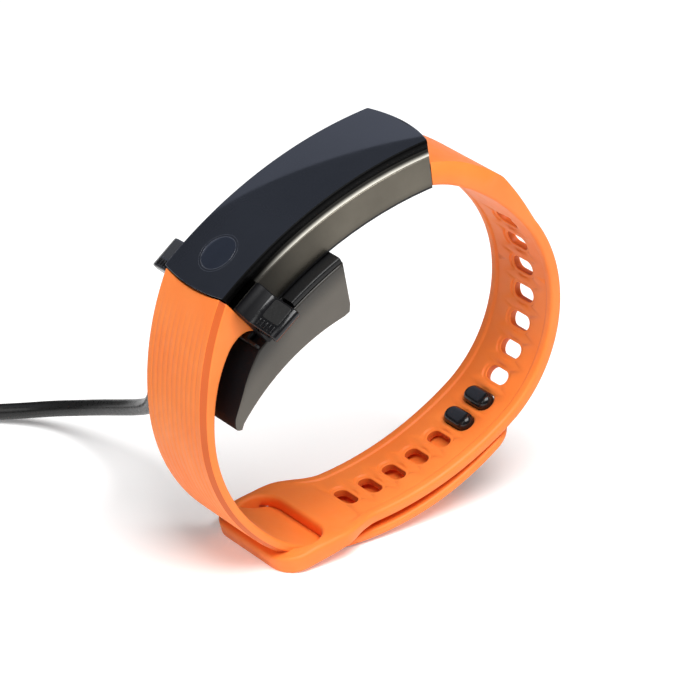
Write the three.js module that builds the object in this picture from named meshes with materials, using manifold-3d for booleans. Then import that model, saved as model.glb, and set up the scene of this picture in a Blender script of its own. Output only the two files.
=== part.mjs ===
// A fitness tracker band, buckled, with its clip-on charging cradle and cable.
// Millimetres, +Z up. The band stands on its clasp, its ring lies in the X-Z plane,
// and the origin is under the middle of the ring, on the surface that it stands on.
import * as THREE from 'three';
import { mergeVertices } from 'three/addons/utils/BufferGeometryUtils.js';
import Module from 'manifold-3d';

const wasm = await Module();
wasm.setup();

// ---- Driving dimensions -------------------------------------------------------------

const GAP = 0.3;                       // between pieces that touch
const RING_CENTRE_HEIGHT = 32.95;
const BAND_WIDTH = 16.5;
const ARC_STEPS = 7;                   // half the straight steps in each arc of an outline

// The tracker is bent round this centre; its pieces are placed by radius and angle.
const ARC_CENTRE = new THREE.Vector2(17.2, -38);
const GLASS_RADIUS = 72;
const LENS_THICKNESS = 1.4;
const TRACKER_THICKNESS = 8.2;
const TRACKER_ANGLES = [97.5, 130.9];
const TRACKER_MIDDLE = (TRACKER_ANGLES[0] + TRACKER_ANGLES[1]) / 2;
const END_BULGES = [1.4, 0.9];         // how far its right and left ends bow into the straps
const CASE_WALL = 1;
const BACK_RADIUS = GLASS_RADIUS - TRACKER_THICKNESS;
const TOUCH_PAD_ANGLE = 126.3;
const TOUCH_PAD_RADIUS = 3.1;
const SENSOR_ANGLE = 106;
const CONTACT_ANGLE = 121.5;
const CONTACT_SPACING = 5;
const MOTOR_ANGLE = 125.5;

const STRAP_THICKNESS = 1.9;
const HOLE_COUNT = 14;
const HOLE_PITCH = 4.69;
const FIRST_HOLE = 24.8;               // from the start of strap B
const HOLE_SIZE = [2.4, 5];            // along and across the strap
const POST_HOLES = [7, 8];             // the holes that hold the posts
const POST_SIZE = [3.2, 6];
const POST_HOLE_SIZE = [4.1, 6.5];
const POST_HEAD = 0.9;                 // how far a post stands out of the strap
const POST_LENGTH = 3.4;
const PLATE_SIZE = [10, 9];
const PLATE_THICKNESS = 0.9;
const TAIL_JOINT = 75.5;               // from the start of strap A to the tail's flexing line
const LOOP_WIDTH = 20.6;
const LOOP_OPENING = 17.2;
const LOOP_BAR_THICKNESS = 2.8;
const LOOP_BAR_WIDTH = 2.7;
const LOOP_X = [-21.2, -10.9];         // the loop's end, and the edge of its slot

const CRADLE_WIDTH = 21.5;
const CRADLE_TOP_RADIUS = 63.4;
const CRADLE_ANGLES = [115.5, 133];
const CRADLE_LID = 1;
const CRADLE_WALL = 2.1;
const LATCH_ANGLE = 128.7;
const LATCH_LENGTH = 5.6;
const LATCH_PIVOT = [9.7, 61.3];       // across and outwards
const LATCH_HUB_RADIUS = 1;
const HINGE_PIN_RADIUS = 0.45;
const HINGE_BORE_RADIUS = 0.62;
const LATCH_NOTCH_LENGTH = 8.2;
const SPRING_WIRE_RADIUS = 0.13;
const SPRING_TURNS = 3;
const POGO_RADIUS = 0.45;
const POGO_BORE_RADIUS = 0.6;
const BARREL_RADIUS = 0.9;
const CORD_EXIT = new THREE.Vector3(-24.6, CRADLE_WIDTH / 2, 35.3);
const CORD_DIRECTION = new THREE.Vector3(0, 0.545, -0.839);
const RELIEF_LENGTH = 7.5;

const CORD_DIAMETER = 2.7;
const CORD_SIDES = 8;
const COIL_CENTRE = [-60.5, 62];
const COIL_RADIUS = 15;
const COIL_BUNDLE = 8.2;               // three turns across and three up
const PLUG_BODY = [15, 21, 7];
const PLUG_SHELL = [12, 18, 4.5];
const PLUG_SHELL_WALL = 0.4;
const PLUG_DISTANCE = 21;              // from the coil's centre back to the plug's grip

// ---- Materials ----------------------------------------------------------------------

const material = (color, roughness, metalness = 0) =>
  new THREE.MeshStandardMaterial({ color, roughness, metalness });

const GLASS = material(0x23262f, 0.08);
const DISPLAY = material(0x0b0c10, 0.3);
const GUNMETAL = material(0x6b665c, 0.38, 0.8);
const BRIGHT_METAL = material(0xb6b2a4, 0.25, 1);
const BLACK_PLASTIC = material(0x15161a, 0.4);
const GLOSS_BLACK = material(0x0c0c0e, 0.12);
const ORANGE_RUBBER = material(0xff8646, 0.55);
const CRADLE_GREY = material(0x655f55, 0.45);
const CORD_RUBBER = material(0x141518, 0.35);
const STEEL = material(0xb8babd, 0.3, 1);
const GOLD = material(0xd8b25c, 0.3, 1);
const BOARD_GREEN = material(0x1c5a38, 0.6);
const CELL_SILVER = material(0xa4a8ad, 0.4, 0.6);
const GREEN_DIODE = material(0x5fe08a, 0.2);
const DARK_DIODE = material(0x23202a, 0.2);
const GASKET = material(0x303236, 0.8);

// ---- Geometry helpers ---------------------------------------------------------------

const radians = THREE.MathUtils.degToRad;

/** The point in the X-Z plane at a radius and an angle about the tracker's arc centre. */
function polar(radius, angle) {
  const turn = radians(angle);
  return new THREE.Vector2(
    ARC_CENTRE.x + radius * Math.cos(turn),
    ARC_CENTRE.y + radius * Math.sin(turn),
  );
}

/** A path in the X-Z plane made of arcs that flow into each other, each [length, turn]. */
function arcPath(start, startHeading, arcs) {
  const at = (distance) => {
    const point = start.clone();
    let heading = radians(startHeading);
    let left = distance;
    arcs.forEach(([length, turn], index) => {
      const isLast = index === arcs.length - 1;
      const run = isLast ? left : Math.min(left, length);
      const half = (radians(turn) * run) / length / 2;
      const chord = half === 0 ? run : (run * Math.sin(half)) / half;
      point.x += chord * Math.cos(heading + half);
      point.y += chord * Math.sin(heading + half);
      heading += 2 * half;
      left -= run;
    });
    const normal = new THREE.Vector2(-Math.sin(heading), Math.cos(heading));
    return { point, heading, normal };
  };
  return { at, length: arcs.reduce((sum, [length]) => sum + length, 0) };
}

/** The outline of a strip that follows a path, from one offset to the left to another. */
function ribbonShape(path, from, to, nearOffset, farOffset, step = 2) {
  const count = Math.ceil((to - from) / step);
  const near = [];
  const far = [];
  for (let i = 0; i <= count; i += 1) {
    const distance = from + ((to - from) * i) / count;
    const { point, normal } = path.at(distance);
    near.push(point.clone().addScaledVector(normal, nearOffset(distance)));
    far.push(point.clone().addScaledVector(normal, farOffset(distance)));
  }
  return new THREE.Shape([...near, ...far.reverse()]);
}

/** A part of a ring about the tracker's arc centre. */
function sectorShape(innerRadius, outerRadius, fromAngle, toAngle) {
  const shape = new THREE.Shape();
  shape.absarc(ARC_CENTRE.x, ARC_CENTRE.y, outerRadius, radians(fromAngle), radians(toAngle), false);
  shape.absarc(ARC_CENTRE.x, ARC_CENTRE.y, innerRadius, radians(toAngle), radians(fromAngle), true);
  return shape;
}

/** An outline with half-circle ends, its long side along the shape's Y. */
function stadiumShape(width, length) {
  const radius = width / 2;
  const reach = length / 2 - radius;
  const shape = new THREE.Shape();
  shape.absarc(0, reach, radius, 0, Math.PI, false);
  shape.absarc(0, -reach, radius, Math.PI, 2 * Math.PI, false);
  return shape;
}

/** A rectangle round the origin with quarter-circle corners. */
function roundedRectangle(width, length, radius) {
  const reach = [width / 2 - radius, length / 2 - radius];
  const shape = new THREE.Shape();
  [[1, -1], [1, 1], [-1, 1], [-1, -1]].forEach(([right, back], index) => {
    const start = (index - 1) * (Math.PI / 2);
    shape.absarc(right * reach[0], back * reach[1], radius, start, start + Math.PI / 2, false);
  });
  return shape;
}

/** An X-Z outline extruded along Y, centred on centreY. */
function across(shape, width, centreY = 0, curveSegments = ARC_STEPS) {
  const geometry = new THREE.ExtrudeGeometry(shape, { depth: width, bevelEnabled: false, curveSegments });
  geometry.rotateX(Math.PI / 2);
  geometry.translate(0, centreY + width / 2, 0);
  return geometry;
}

/** An X-Y outline extruded up Z between two heights. */
function upright(shape, bottom, top, curveSegments = ARC_STEPS) {
  const depth = top - bottom;
  const geometry = new THREE.ExtrudeGeometry(shape, { depth, bevelEnabled: false, curveSegments });
  geometry.translate(0, 0, bottom);
  return geometry;
}

/** Turns a geometry's +Z to the tracker's outward direction at an angle, and moves it there. */
function placeOnArc(geometry, radius, angle, y = 0) {
  const place = polar(radius, angle);
  geometry.rotateY(radians(90 - angle));
  geometry.translate(place.x, y, place.y);
  return geometry;
}

/** A cylinder along Z between two heights. */
function post(radius, bottom, top, sides = 20) {
  const geometry = new THREE.CylinderGeometry(radius, radius, top - bottom, sides);
  geometry.rotateX(Math.PI / 2);
  geometry.translate(0, 0, (top + bottom) / 2);
  return geometry;
}

/** A cylinder along X, centred on the origin. */
function rod(radius, length, sides = 14) {
  const geometry = new THREE.CylinderGeometry(radius, radius, length, sides);
  geometry.rotateZ(Math.PI / 2);
  return geometry;
}

function solidOf(geometry) {
  const bare = geometry.clone();
  bare.deleteAttribute('normal');
  bare.deleteAttribute('uv');
  const merged = mergeVertices(bare);
  return new wasm.Manifold(new wasm.Mesh({
    numProp: 3,
    vertProperties: Float32Array.from(merged.attributes.position.array),
    triVerts: Uint32Array.from(merged.index.array),
  }));
}

function geometryOf(solid) {
  const mesh = solid.getMesh();
  const geometry = new THREE.BufferGeometry();
  geometry.setAttribute('position', new THREE.BufferAttribute(mesh.vertProperties, 3));
  geometry.setIndex(new THREE.BufferAttribute(mesh.triVerts, 1));
  geometry.computeVertexNormals();
  return geometry;
}

const cut = (base, tools) =>
  geometryOf(tools.reduce((solid, tool) => solid.subtract(solidOf(tool)), solidOf(base)));

const trim = (base, limit) => geometryOf(solidOf(base).intersect(solidOf(limit)));

const join = (pieces) =>
  geometryOf(pieces.map(solidOf).reduce((solid, piece) => solid.add(piece)));

function addPiece(group, name, geometry, finish) {
  const mesh = new THREE.Mesh(geometry, finish);
  mesh.name = name;
  group.add(mesh);
  return mesh;
}

// ---- Tracker ------------------------------------------------------------------------

/** Bends a block so that its X runs round the tracker's arc and its Z points outwards. */
function wrapOnArc(geometry) {
  const position = geometry.attributes.position;
  for (let i = 0; i < position.count; i += 1) {
    const angle = TRACKER_MIDDLE - THREE.MathUtils.radToDeg(position.getX(i) / GLASS_RADIUS);
    const place = polar(GLASS_RADIUS + position.getZ(i), angle);
    position.setXYZ(i, place.x, position.getY(i), place.y);
  }
  return geometry;
}

/** A block through the whole tracker: straight sides, and ends that bow outwards. */
function trackerPlan(grow) {
  const halfAngle = (TRACKER_ANGLES[1] - TRACKER_ANGLES[0]) / 2;
  const reach = GLASS_RADIUS * radians(halfAngle) + grow;
  const side = BAND_WIDTH / 2 + grow;
  const [rightBulge, leftBulge] = END_BULGES;
  const shape = new THREE.Shape();
  shape.moveTo(-reach, -side);
  shape.lineTo(reach, -side);
  shape.quadraticCurveTo(reach + 2 * rightBulge, 0, reach, side);
  shape.lineTo(-reach, side);
  shape.quadraticCurveTo(-reach - 2 * leftBulge, 0, -reach, -side);
  return wrapOnArc(upright(shape, -2 * TRACKER_THICKNESS, TRACKER_THICKNESS));
}

/** One layer of the tracker between two radii, cut to the tracker's plan. */
function trackerLayer(innerRadius, outerRadius, inset = 0) {
  const [right, left] = TRACKER_ANGLES;
  const spare = 2;
  const shape = sectorShape(innerRadius, outerRadius, right - spare, left + spare);
  return trim(across(shape, BAND_WIDTH + spare), trackerPlan(-inset));
}

/** A block inside the tracker that follows its curve. */
function curvedBlock(innerRadius, outerRadius, fromAngle, toAngle, width) {
  return across(sectorShape(innerRadius, outerRadius, fromAngle, toAngle), width);
}

function buildTracker(group) {
  const lensBottom = GLASS_RADIUS - LENS_THICKNESS;
  const trimDepth = 0.6;
  const trimBottom = lensBottom - trimDepth;
  const backThickness = 0.8;
  const caseBottom = BACK_RADIUS + backThickness + 0.1;
  const contactY = [-CONTACT_SPACING / 2, CONTACT_SPACING / 2];

  addPiece(group, 'glass_lens', trackerLayer(lensBottom, GLASS_RADIUS), GLASS);

  const ledge = 0.7;
  const trimBase = trackerLayer(trimBottom, lensBottom - 0.05);
  const trimOpening = trackerLayer(trimBottom - 1, lensBottom + 1, ledge);
  addPiece(group, 'bezel_trim', cut(trimBase, [trimOpening]), BRIGHT_METAL);
  const gasketRing = trackerLayer(lensBottom - 0.35, lensBottom - 0.1, ledge + 0.1);
  const gasketOpening = trackerLayer(trimBottom - 1, lensBottom + 1, ledge + 0.9);
  addPiece(group, 'lens_gasket', cut(gasketRing, [gasketOpening]), GASKET);

  const wall = trackerLayer(caseBottom, trimBottom - 0.05);
  const cavity = trackerLayer(caseBottom - 1, trimBottom + 1, CASE_WALL);
  addPiece(group, 'housing_frame', cut(wall, [cavity]), GUNMETAL);

  const back = trackerLayer(BACK_RADIUS, BACK_RADIUS + backThickness);
  const windowRadius = 3.6;
  const windowHole = placeOnArc(post(windowRadius + 0.15, -1, 2, 28), BACK_RADIUS, SENSOR_ANGLE);
  const contactRadius = 1.1;
  const contactHoles = contactY.map((y) =>
    placeOnArc(post(contactRadius + 0.15, -1, 2), BACK_RADIUS, CONTACT_ANGLE, y));
  addPiece(group, 'back_cover', cut(back, [windowHole, ...contactHoles]), BLACK_PLASTIC);
  const window = placeOnArc(post(windowRadius, 0.05, backThickness - 0.05, 28), BACK_RADIUS, SENSOR_ANGLE);
  addPiece(group, 'sensor_window', window, GLOSS_BLACK);
  contactY.forEach((y, index) => {
    const pad = placeOnArc(post(contactRadius, 0.1, backThickness), BACK_RADIUS, CONTACT_ANGLE, y);
    addPiece(group, `charge_contact_${index + 1}`, pad, GOLD);
  });

  // Each inner layer's first and last angle, and its width.
  const displaySpan = [101, 122.5, 12];
  const boardSpan = [99, 129.3, 13.6];
  const batterySpan = [110.5, 119, 12.5];
  const displayTop = lensBottom - 0.45;
  addPiece(group, 'display_module', curvedBlock(displayTop - 1, displayTop, ...displaySpan), DISPLAY);
  const touchPad = placeOnArc(post(TOUCH_PAD_RADIUS, -0.5, 0, 28), displayTop, TOUCH_PAD_ANGLE);
  addPiece(group, 'touch_pad', touchPad, BLACK_PLASTIC);
  const boardTop = displayTop - 1.2;
  const boardBottom = boardTop - 0.6;
  addPiece(group, 'main_board', curvedBlock(boardBottom, boardTop, ...boardSpan), BOARD_GREEN);
  const batteryTop = boardBottom - 0.15;
  const batteryThickness = 2.4;
  const battery = curvedBlock(batteryTop - batteryThickness, batteryTop, ...batterySpan);
  addPiece(group, 'battery', battery, CELL_SILVER);

  const diodeTop = batteryTop - BACK_RADIUS - 0.1;
  const diodeSize = [1.6, 1.5, 1.1];
  const diodePitch = 2.2;
  const diodes = [
    ['green_led_1', -diodePitch, GREEN_DIODE],
    ['photodiode', 0, DARK_DIODE],
    ['green_led_2', diodePitch, GREEN_DIODE],
  ];
  diodes.forEach(([name, y, finish]) => {
    const height = diodeSize[2];
    const diode = new THREE.BoxGeometry(...diodeSize);
    diode.translate(0, 0, diodeTop - height / 2);
    addPiece(group, name, placeOnArc(diode, BACK_RADIUS, SENSOR_ANGLE, y), finish);
  });
  return { motorRadius: batteryTop - 1.6 };
}

function buildVibrationMotor(bandGroup, weightGroup, motorRadius) {
  const canRadius = 1.4;
  const canLength = 5;
  const shaftLength = 3.4;
  const canY = -2.6;
  const can = new THREE.CylinderGeometry(canRadius, canRadius, canLength, 20);
  addPiece(bandGroup, 'motor_can', placeOnArc(can, motorRadius, MOTOR_ANGLE, canY), STEEL);

  const shaft = new THREE.CylinderGeometry(0.35, 0.35, shaftLength, 10);
  const shaftY = canY + canLength / 2 + shaftLength / 2 + 0.1;
  shaft.translate(0, shaftY, 0);
  const half = new THREE.Shape();
  half.absarc(0, 0, 1.35, 0, Math.PI, false);
  half.lineTo(-0.7, -0.5);
  half.lineTo(0.7, -0.5);
  const weight = across(half, shaftLength - 0.8, shaftY);
  addPiece(weightGroup, 'motor_weight', placeOnArc(join([shaft, weight]), motorRadius, MOTOR_ANGLE), STEEL);
}

// ---- Straps and clasp ---------------------------------------------------------------

// Strap A's outer face, from inside the tracker's end down, round the bottom and up to its tip.
const strapAPath = arcPath(new THREE.Vector2(-30.1, 16.3), -114.1, [
  [24.3, 30.6], [25.9, 48.4], [9.2, 26.8], [15.1, 17.6], [27, 32.4],
]);
// Strap B's inner face, from the tracker's other end round the right side to the loop.
const strapBPath = arcPath(new THREE.Vector2(9.3, 25.4), -8.5, [
  [6, -17.5], [16, -24.5], [26, -65.5], [10.5, -29], [30.5, -33], [15.3, 14],
]);
const STRAP_INSIDE_TRACKER = 3;        // how far the uncut straps start inside the tracker

function strapAThickness(distance) {
  const swell = 6;
  const fade = 8.5;
  return STRAP_THICKNESS + swell * Math.exp(-Math.max(distance, 0) / fade);
}

function strapBThickness(distance) {
  const swell = 5.5;
  const fade = 22.5;
  const curve = 1.2;
  const loopRamp = 12;
  const left = 1 - Math.min(Math.max(distance, 0) / fade, 1);
  const rise = Math.min(Math.max((distance - strapBPath.length + loopRamp) / loopRamp, 0), 1);
  return STRAP_THICKNESS + swell * left ** curve + (LOOP_BAR_THICKNESS - STRAP_THICKNESS) * rise;
}

/** A stadium-shaped cutter or post that stands on a strap face, from one depth to another. */
function standOnPath(place, direction, size, from, to) {
  const geometry = upright(stadiumShape(...size), from, to, 5);
  geometry.rotateY(Math.atan2(direction.x, direction.y));
  geometry.translate(place.x, 0, place.y);
  return geometry;
}

const holePlaces = Array.from({ length: HOLE_COUNT }, (_, index) =>
  strapBPath.at(FIRST_HOLE + index * HOLE_PITCH));
const postDirection = strapBPath.at(FIRST_HOLE + (POST_HOLES[0] + 0.5) * HOLE_PITCH).normal;

/** Where the line through a post meets strap A's tail, as a hole through the tail. */
function tailHole(index) {
  return standOnPath(holePlaces[index].point, postDirection, POST_HOLE_SIZE, STRAP_THICKNESS, 9);
}

function buildStrapA(group) {
  const end = TAIL_JOINT - GAP / 2;
  const shape = ribbonShape(strapAPath, -STRAP_INSIDE_TRACKER, end, () => 0, strapAThickness);
  const strap = cut(across(shape, BAND_WIDTH), [trackerPlan(GAP / 2)]);
  addPiece(group, 'strap_a', strap, ORANGE_RUBBER);
}

function buildTail(group) {
  const tipLength = 6;
  const tipThickness = 1.2;
  const thickness = (distance) => {
    const share = Math.max((distance - strapAPath.length + tipLength) / tipLength, 0);
    return STRAP_THICKNESS + (tipThickness - STRAP_THICKNESS) * share;
  };
  const shape = ribbonShape(strapAPath, TAIL_JOINT + GAP / 2, strapAPath.length, () => 0, thickness);
  const tail = cut(across(shape, BAND_WIDTH), POST_HOLES.map(tailHole));
  addPiece(group, 'strap_tail', tail, ORANGE_RUBBER);

  const plateMiddle = strapAPath.length - 6.4;
  const [plateLength, plateWidth] = PLATE_SIZE;
  const plateOffset = 0.1;
  const plate = ribbonShape(
    strapAPath, plateMiddle - plateLength / 2, plateMiddle + plateLength / 2,
    () => -plateOffset - PLATE_THICKNESS, () => -plateOffset,
  );
  addPiece(group, 'pin_plate', across(plate, plateWidth), GLOSS_BLACK);
  POST_HOLES.forEach((hole, index) => {
    const place = holePlaces[hole].point;
    const pin = standOnPath(place, postDirection, POST_SIZE, -POST_HEAD, POST_LENGTH);
    addPiece(group, `pin_post_${index + 1}`, pin, GLOSS_BLACK);
  });
}

/** The loop's outline from above: it flares from the strap's width, with a rounded end. */
function loopPlan() {
  const [endX, slotX] = LOOP_X;
  const half = LOOP_WIDTH / 2;
  const strapHalf = BAND_WIDTH / 2;
  const cornerRadius = 7;
  const flareLength = 9;
  const startX = slotX + flareLength;
  const shape = new THREE.Shape();
  shape.moveTo(startX, -strapHalf);
  shape.bezierCurveTo(startX - 4, -strapHalf, slotX + 2, -half, slotX - 1, -half);
  shape.lineTo(endX + cornerRadius, -half);
  shape.quadraticCurveTo(endX, -half, endX, -half + cornerRadius);
  shape.lineTo(endX, half - cornerRadius);
  shape.quadraticCurveTo(endX, half, endX + cornerRadius, half);
  shape.lineTo(slotX - 1, half);
  shape.bezierCurveTo(slotX + 2, half, startX - 4, strapHalf, startX, strapHalf);
  return shape;
}

function buildStrapB(group) {
  const loopLength = 22;
  const overlap = 8;
  const shape = ribbonShape(strapBPath, -STRAP_INSIDE_TRACKER, strapBPath.length - loopLength + overlap,
    () => 0, strapBThickness);
  const loopShape = ribbonShape(strapBPath, strapBPath.length - loopLength, strapBPath.length,
    () => 0, strapBThickness);
  const loop = trim(across(loopShape, LOOP_WIDTH), upright(loopPlan(), -40, -20));
  const body = join([across(shape, BAND_WIDTH), loop]);

  const [barX, slotX] = [LOOP_X[0] + LOOP_BAR_WIDTH, LOOP_X[1]];
  const slotShape = roundedRectangle(slotX - barX, LOOP_OPENING, 2.5);
  const slot = upright(slotShape, -40, -20, 4).translate((slotX + barX) / 2, 0, 0);
  const clearance = 0.4;
  const strapARoom = across(
    ribbonShape(strapAPath, 36, TAIL_JOINT, () => -clearance, () => STRAP_THICKNESS + clearance),
    LOOP_OPENING,
  );
  const belowFloor = new THREE.BoxGeometry(40, 40, 10).translate(LOOP_X[0], 0, -RING_CENTRE_HEIGHT - 5);
  const holes = holePlaces.map(({ point, normal }, index) => {
    const holdsPost = POST_HOLES.includes(index);
    const direction = holdsPost ? postDirection : normal;
    return standOnPath(point, direction, holdsPost ? POST_HOLE_SIZE : HOLE_SIZE, -2, 5);
  });
  const strap = cut(body, [trackerPlan(GAP / 2), slot, strapARoom, belowFloor, ...holes]);
  addPiece(group, 'strap_b', strap, ORANGE_RUBBER);
}

// ---- Charging cradle ----------------------------------------------------------------

/** The cradle's side view below its lid: under the tracker, down along strap A, and back. */
function cradleShape(topRadius) {
  const [right, left] = CRADLE_ANGLES;
  const wristCentre = new THREE.Vector2(0.3, -24.5);
  const wristRadius = 34.9;
  const shape = new THREE.Shape();
  shape.absarc(ARC_CENTRE.x, ARC_CENTRE.y, topRadius, radians(right), radians(left), false);
  shape.quadraticCurveTo(-27.4, 4.1, -28.1, 1.4);
  shape.lineTo(-29.9, -4);
  shape.quadraticCurveTo(-29.9, -5.4, -28.3, -5);
  shape.absarc(wristCentre.x, wristCentre.y, wristRadius, radians(144), radians(106), true);
  shape.lineTo(-8.2, 10.3);
  return shape;
}

/** The room for a latch in the cradle's side, and the bore for its hinge pin. */
function latchRoom(side) {
  const [pivotY, pivotRadius] = LATCH_PIVOT;
  const depth = 2.6;
  const height = 5;
  const notch = new THREE.BoxGeometry(LATCH_NOTCH_LENGTH, depth, height);
  notch.translate(0, side * (pivotY - LATCH_HUB_RADIUS - 0.15 + depth / 2), pivotRadius - 1.3 + height / 2);
  const bore = rod(HINGE_BORE_RADIUS, LATCH_NOTCH_LENGTH + 2.4);
  bore.translate(0, side * pivotY, pivotRadius);
  return [notch, bore].map((tool) => placeOnArc(tool, 0, LATCH_ANGLE));
}

function buildCradleBody(group) {
  const lidBottom = CRADLE_TOP_RADIUS - CRADLE_LID;
  const shellTop = lidBottom - 0.1;
  const cavityFloor = 58;
  const cavityWidth = CRADLE_WIDTH - 2 * CRADLE_WALL - 0.3;
  const cavity = across(sectorShape(cavityFloor, shellTop + 1, 117.5, 131.5), cavityWidth);
  const rooms = [-1, 1].flatMap(latchRoom);
  const shell = across(cradleShape(shellTop), CRADLE_WIDTH);
  addPiece(group, 'cradle_shell', cut(shell, [cavity, ...rooms]), CRADLE_GREY);

  const pogoY = [-CONTACT_SPACING / 2, CONTACT_SPACING / 2];
  const pogoHoles = pogoY.map((y) =>
    placeOnArc(post(POGO_BORE_RADIUS, 55, 70), 0, CONTACT_ANGLE, y));
  const [right, left] = CRADLE_ANGLES;
  const lid = across(sectorShape(lidBottom, CRADLE_TOP_RADIUS, right + 0.1, left - 0.1), CRADLE_WIDTH - 0.4);
  const notches = [-1, 1].map((side) => latchRoom(side)[0]);
  addPiece(group, 'cradle_lid', cut(lid, [...pogoHoles, ...notches]), BLACK_PLASTIC);

  const boardBottom = cavityFloor + 0.3;
  const boardTop = boardBottom + 0.8;
  addPiece(group, 'cradle_board', curvedBlock(boardBottom, boardTop, 118, 131, 15), BOARD_GREEN);
  const block = new THREE.BoxGeometry(4.4, 10, 2.6);
  const blockBottom = boardTop + 0.25;
  block.translate(0, 0, blockBottom + 1.3);
  const barrelHoles = pogoY.map((y) => placeOnArc(post(BARREL_RADIUS + 0.1, 55, 70), 0, CONTACT_ANGLE, y));
  addPiece(group, 'contact_block', cut(placeOnArc(block, 0, CONTACT_ANGLE), barrelHoles), BLACK_PLASTIC);
  pogoY.forEach((y, index) => {
    const barrelOuter = placeOnArc(post(BARREL_RADIUS, blockBottom, lidBottom - 0.1), 0, CONTACT_ANGLE, y);
    const barrelBore = placeOnArc(post(POGO_BORE_RADIUS, blockBottom + 0.4, 70), 0, CONTACT_ANGLE, y);
    addPiece(group, `pogo_barrel_${index + 1}`, cut(barrelOuter, [barrelBore]), STEEL);
  });
}

function buildPogoPins(groups) {
  const tip = BACK_RADIUS - 0.05;
  const foot = tip - 2.6;
  groups.forEach((group, index) => {
    const y = (index - 0.5) * CONTACT_SPACING;
    const profile = [
      [0, foot], [POGO_RADIUS, foot], [POGO_RADIUS, tip - 0.3], [POGO_RADIUS - 0.15, tip - 0.08], [0, tip],
    ].map(([radius, height]) => new THREE.Vector2(radius, height));
    const pin = new THREE.LatheGeometry(profile, 14);
    pin.rotateX(Math.PI / 2);
    addPiece(group, `pogo_pin_${index + 1}`, placeOnArc(pin, 0, CONTACT_ANGLE, y), GOLD);
  });
}

/** A latch's section across the cradle: hub, jaw beside the tracker, and thumb pad. */
function latchShape(side) {
  const [pivotY, pivotRadius] = LATCH_PIVOT;
  const jawFace = BAND_WIDTH / 2 + GAP;
  const outline = [
    [pivotY - 0.6, pivotRadius - 0.8], [pivotY + 0.6, pivotRadius - 0.8], [pivotY + 1, pivotRadius],
    [pivotY + 1.6, 65.2], [16.2, 65.3], [16.8, 65.9], [16.7, 66.8], [11.2, 67.6],
    [9.9, 69.6], [jawFace + 0.3, 69.7], [jawFace, 69.3], [jawFace, 64],
    [pivotY - 1, pivotRadius + 0.4], [pivotY - 1, pivotRadius - 0.3],
  ].map(([y, radius]) => new THREE.Vector2(side * y, radius));
  return new THREE.Shape(side > 0 ? outline : outline.reverse());
}

/** A section in the Y-Z plane extruded along X, centred on the origin. */
function lengthwise(shape, length) {
  const geometry = new THREE.ExtrudeGeometry(shape, { depth: length, bevelEnabled: false });
  geometry.translate(0, 0, -length / 2);
  geometry.rotateY(Math.PI / 2);
  geometry.rotateX(Math.PI / 2);
  return geometry;
}

/** The centre line of a latch's torsion spring: a helix along X. */
class SpringLine extends THREE.Curve {
  constructor(radius, length, turns) {
    super();
    Object.assign(this, { radius, length, turns });
  }

  getPoint(share, target = new THREE.Vector3()) {
    const turn = 2 * Math.PI * this.turns * share;
    return target.set(
      (share - 0.5) * this.length,
      this.radius * Math.cos(turn),
      this.radius * Math.sin(turn),
    );
  }
}

function buildLatch(cradleGroup, latchGroup, name, side) {
  const [pivotY, pivotRadius] = LATCH_PIVOT;
  const toPivot = (geometry, along = 0) => {
    geometry.translate(along, side * pivotY, pivotRadius);
    return placeOnArc(geometry, 0, LATCH_ANGLE);
  };
  const lever = placeOnArc(lengthwise(latchShape(side), LATCH_LENGTH), 0, LATCH_ANGLE);
  const bore = toPivot(rod(HINGE_BORE_RADIUS, LATCH_LENGTH + 2));
  addPiece(latchGroup, `${name}_latch`, cut(lever, [bore]), GLOSS_BLACK);
  addPiece(cradleGroup, `${name}_hinge_pin`, toPivot(rod(HINGE_PIN_RADIUS, LATCH_NOTCH_LENGTH + 2)), STEEL);
  const springRadius = 0.72;
  const springLength = 0.85;
  const line = new SpringLine(springRadius, springLength, SPRING_TURNS);
  const wire = new THREE.Shape().absarc(0, 0, SPRING_WIRE_RADIUS, 0, 2 * Math.PI);
  const spring = new THREE.ExtrudeGeometry(wire, {
    extrudePath: line, steps: SPRING_TURNS * 12, curveSegments: 3, bevelEnabled: false,
  });
  addPiece(cradleGroup, `${name}_latch_spring`, toPivot(spring, LATCH_LENGTH / 2 + 0.72), STEEL);
}

// ---- Cable --------------------------------------------------------------------------

/** A round tube along a smooth line through points. */
function tube(points, diameter, steps) {
  const line = new THREE.CatmullRomCurve3(points, false, 'centripetal');
  const section = new THREE.Shape();
  section.absarc(0, 0, diameter / 2, 0, 2 * Math.PI);
  return new THREE.ExtrudeGeometry(section, {
    extrudePath: line, steps, curveSegments: CORD_SIDES / 2, bevelEnabled: false,
  });
}

function buildStrainRelief(group) {
  const profile = [
    [0, 0], [1.9, 0], [1.9, 1.2], [1.75, 1.5], [1.6, RELIEF_LENGTH], [0, RELIEF_LENGTH],
  ].map(([radius, height]) => new THREE.Vector2(radius, height));
  const relief = new THREE.LatheGeometry(profile, 20);
  const up = new THREE.Vector3(0, 1, 0);
  const direction = CORD_DIRECTION.clone().normalize();
  const base = new THREE.CylinderGeometry(1.9, 1.9, 1.6, 20);
  base.translate(CORD_EXIT.x, CORD_EXIT.y + 0.15 + 0.8, CORD_EXIT.z);
  relief.applyQuaternion(new THREE.Quaternion().setFromUnitVectors(up, direction));
  relief.translate(CORD_EXIT.x, CORD_EXIT.y + 0.15 + 1.7, CORD_EXIT.z);
  addPiece(group, 'strain_relief', join([relief, base]), CORD_RUBBER);
}

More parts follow.
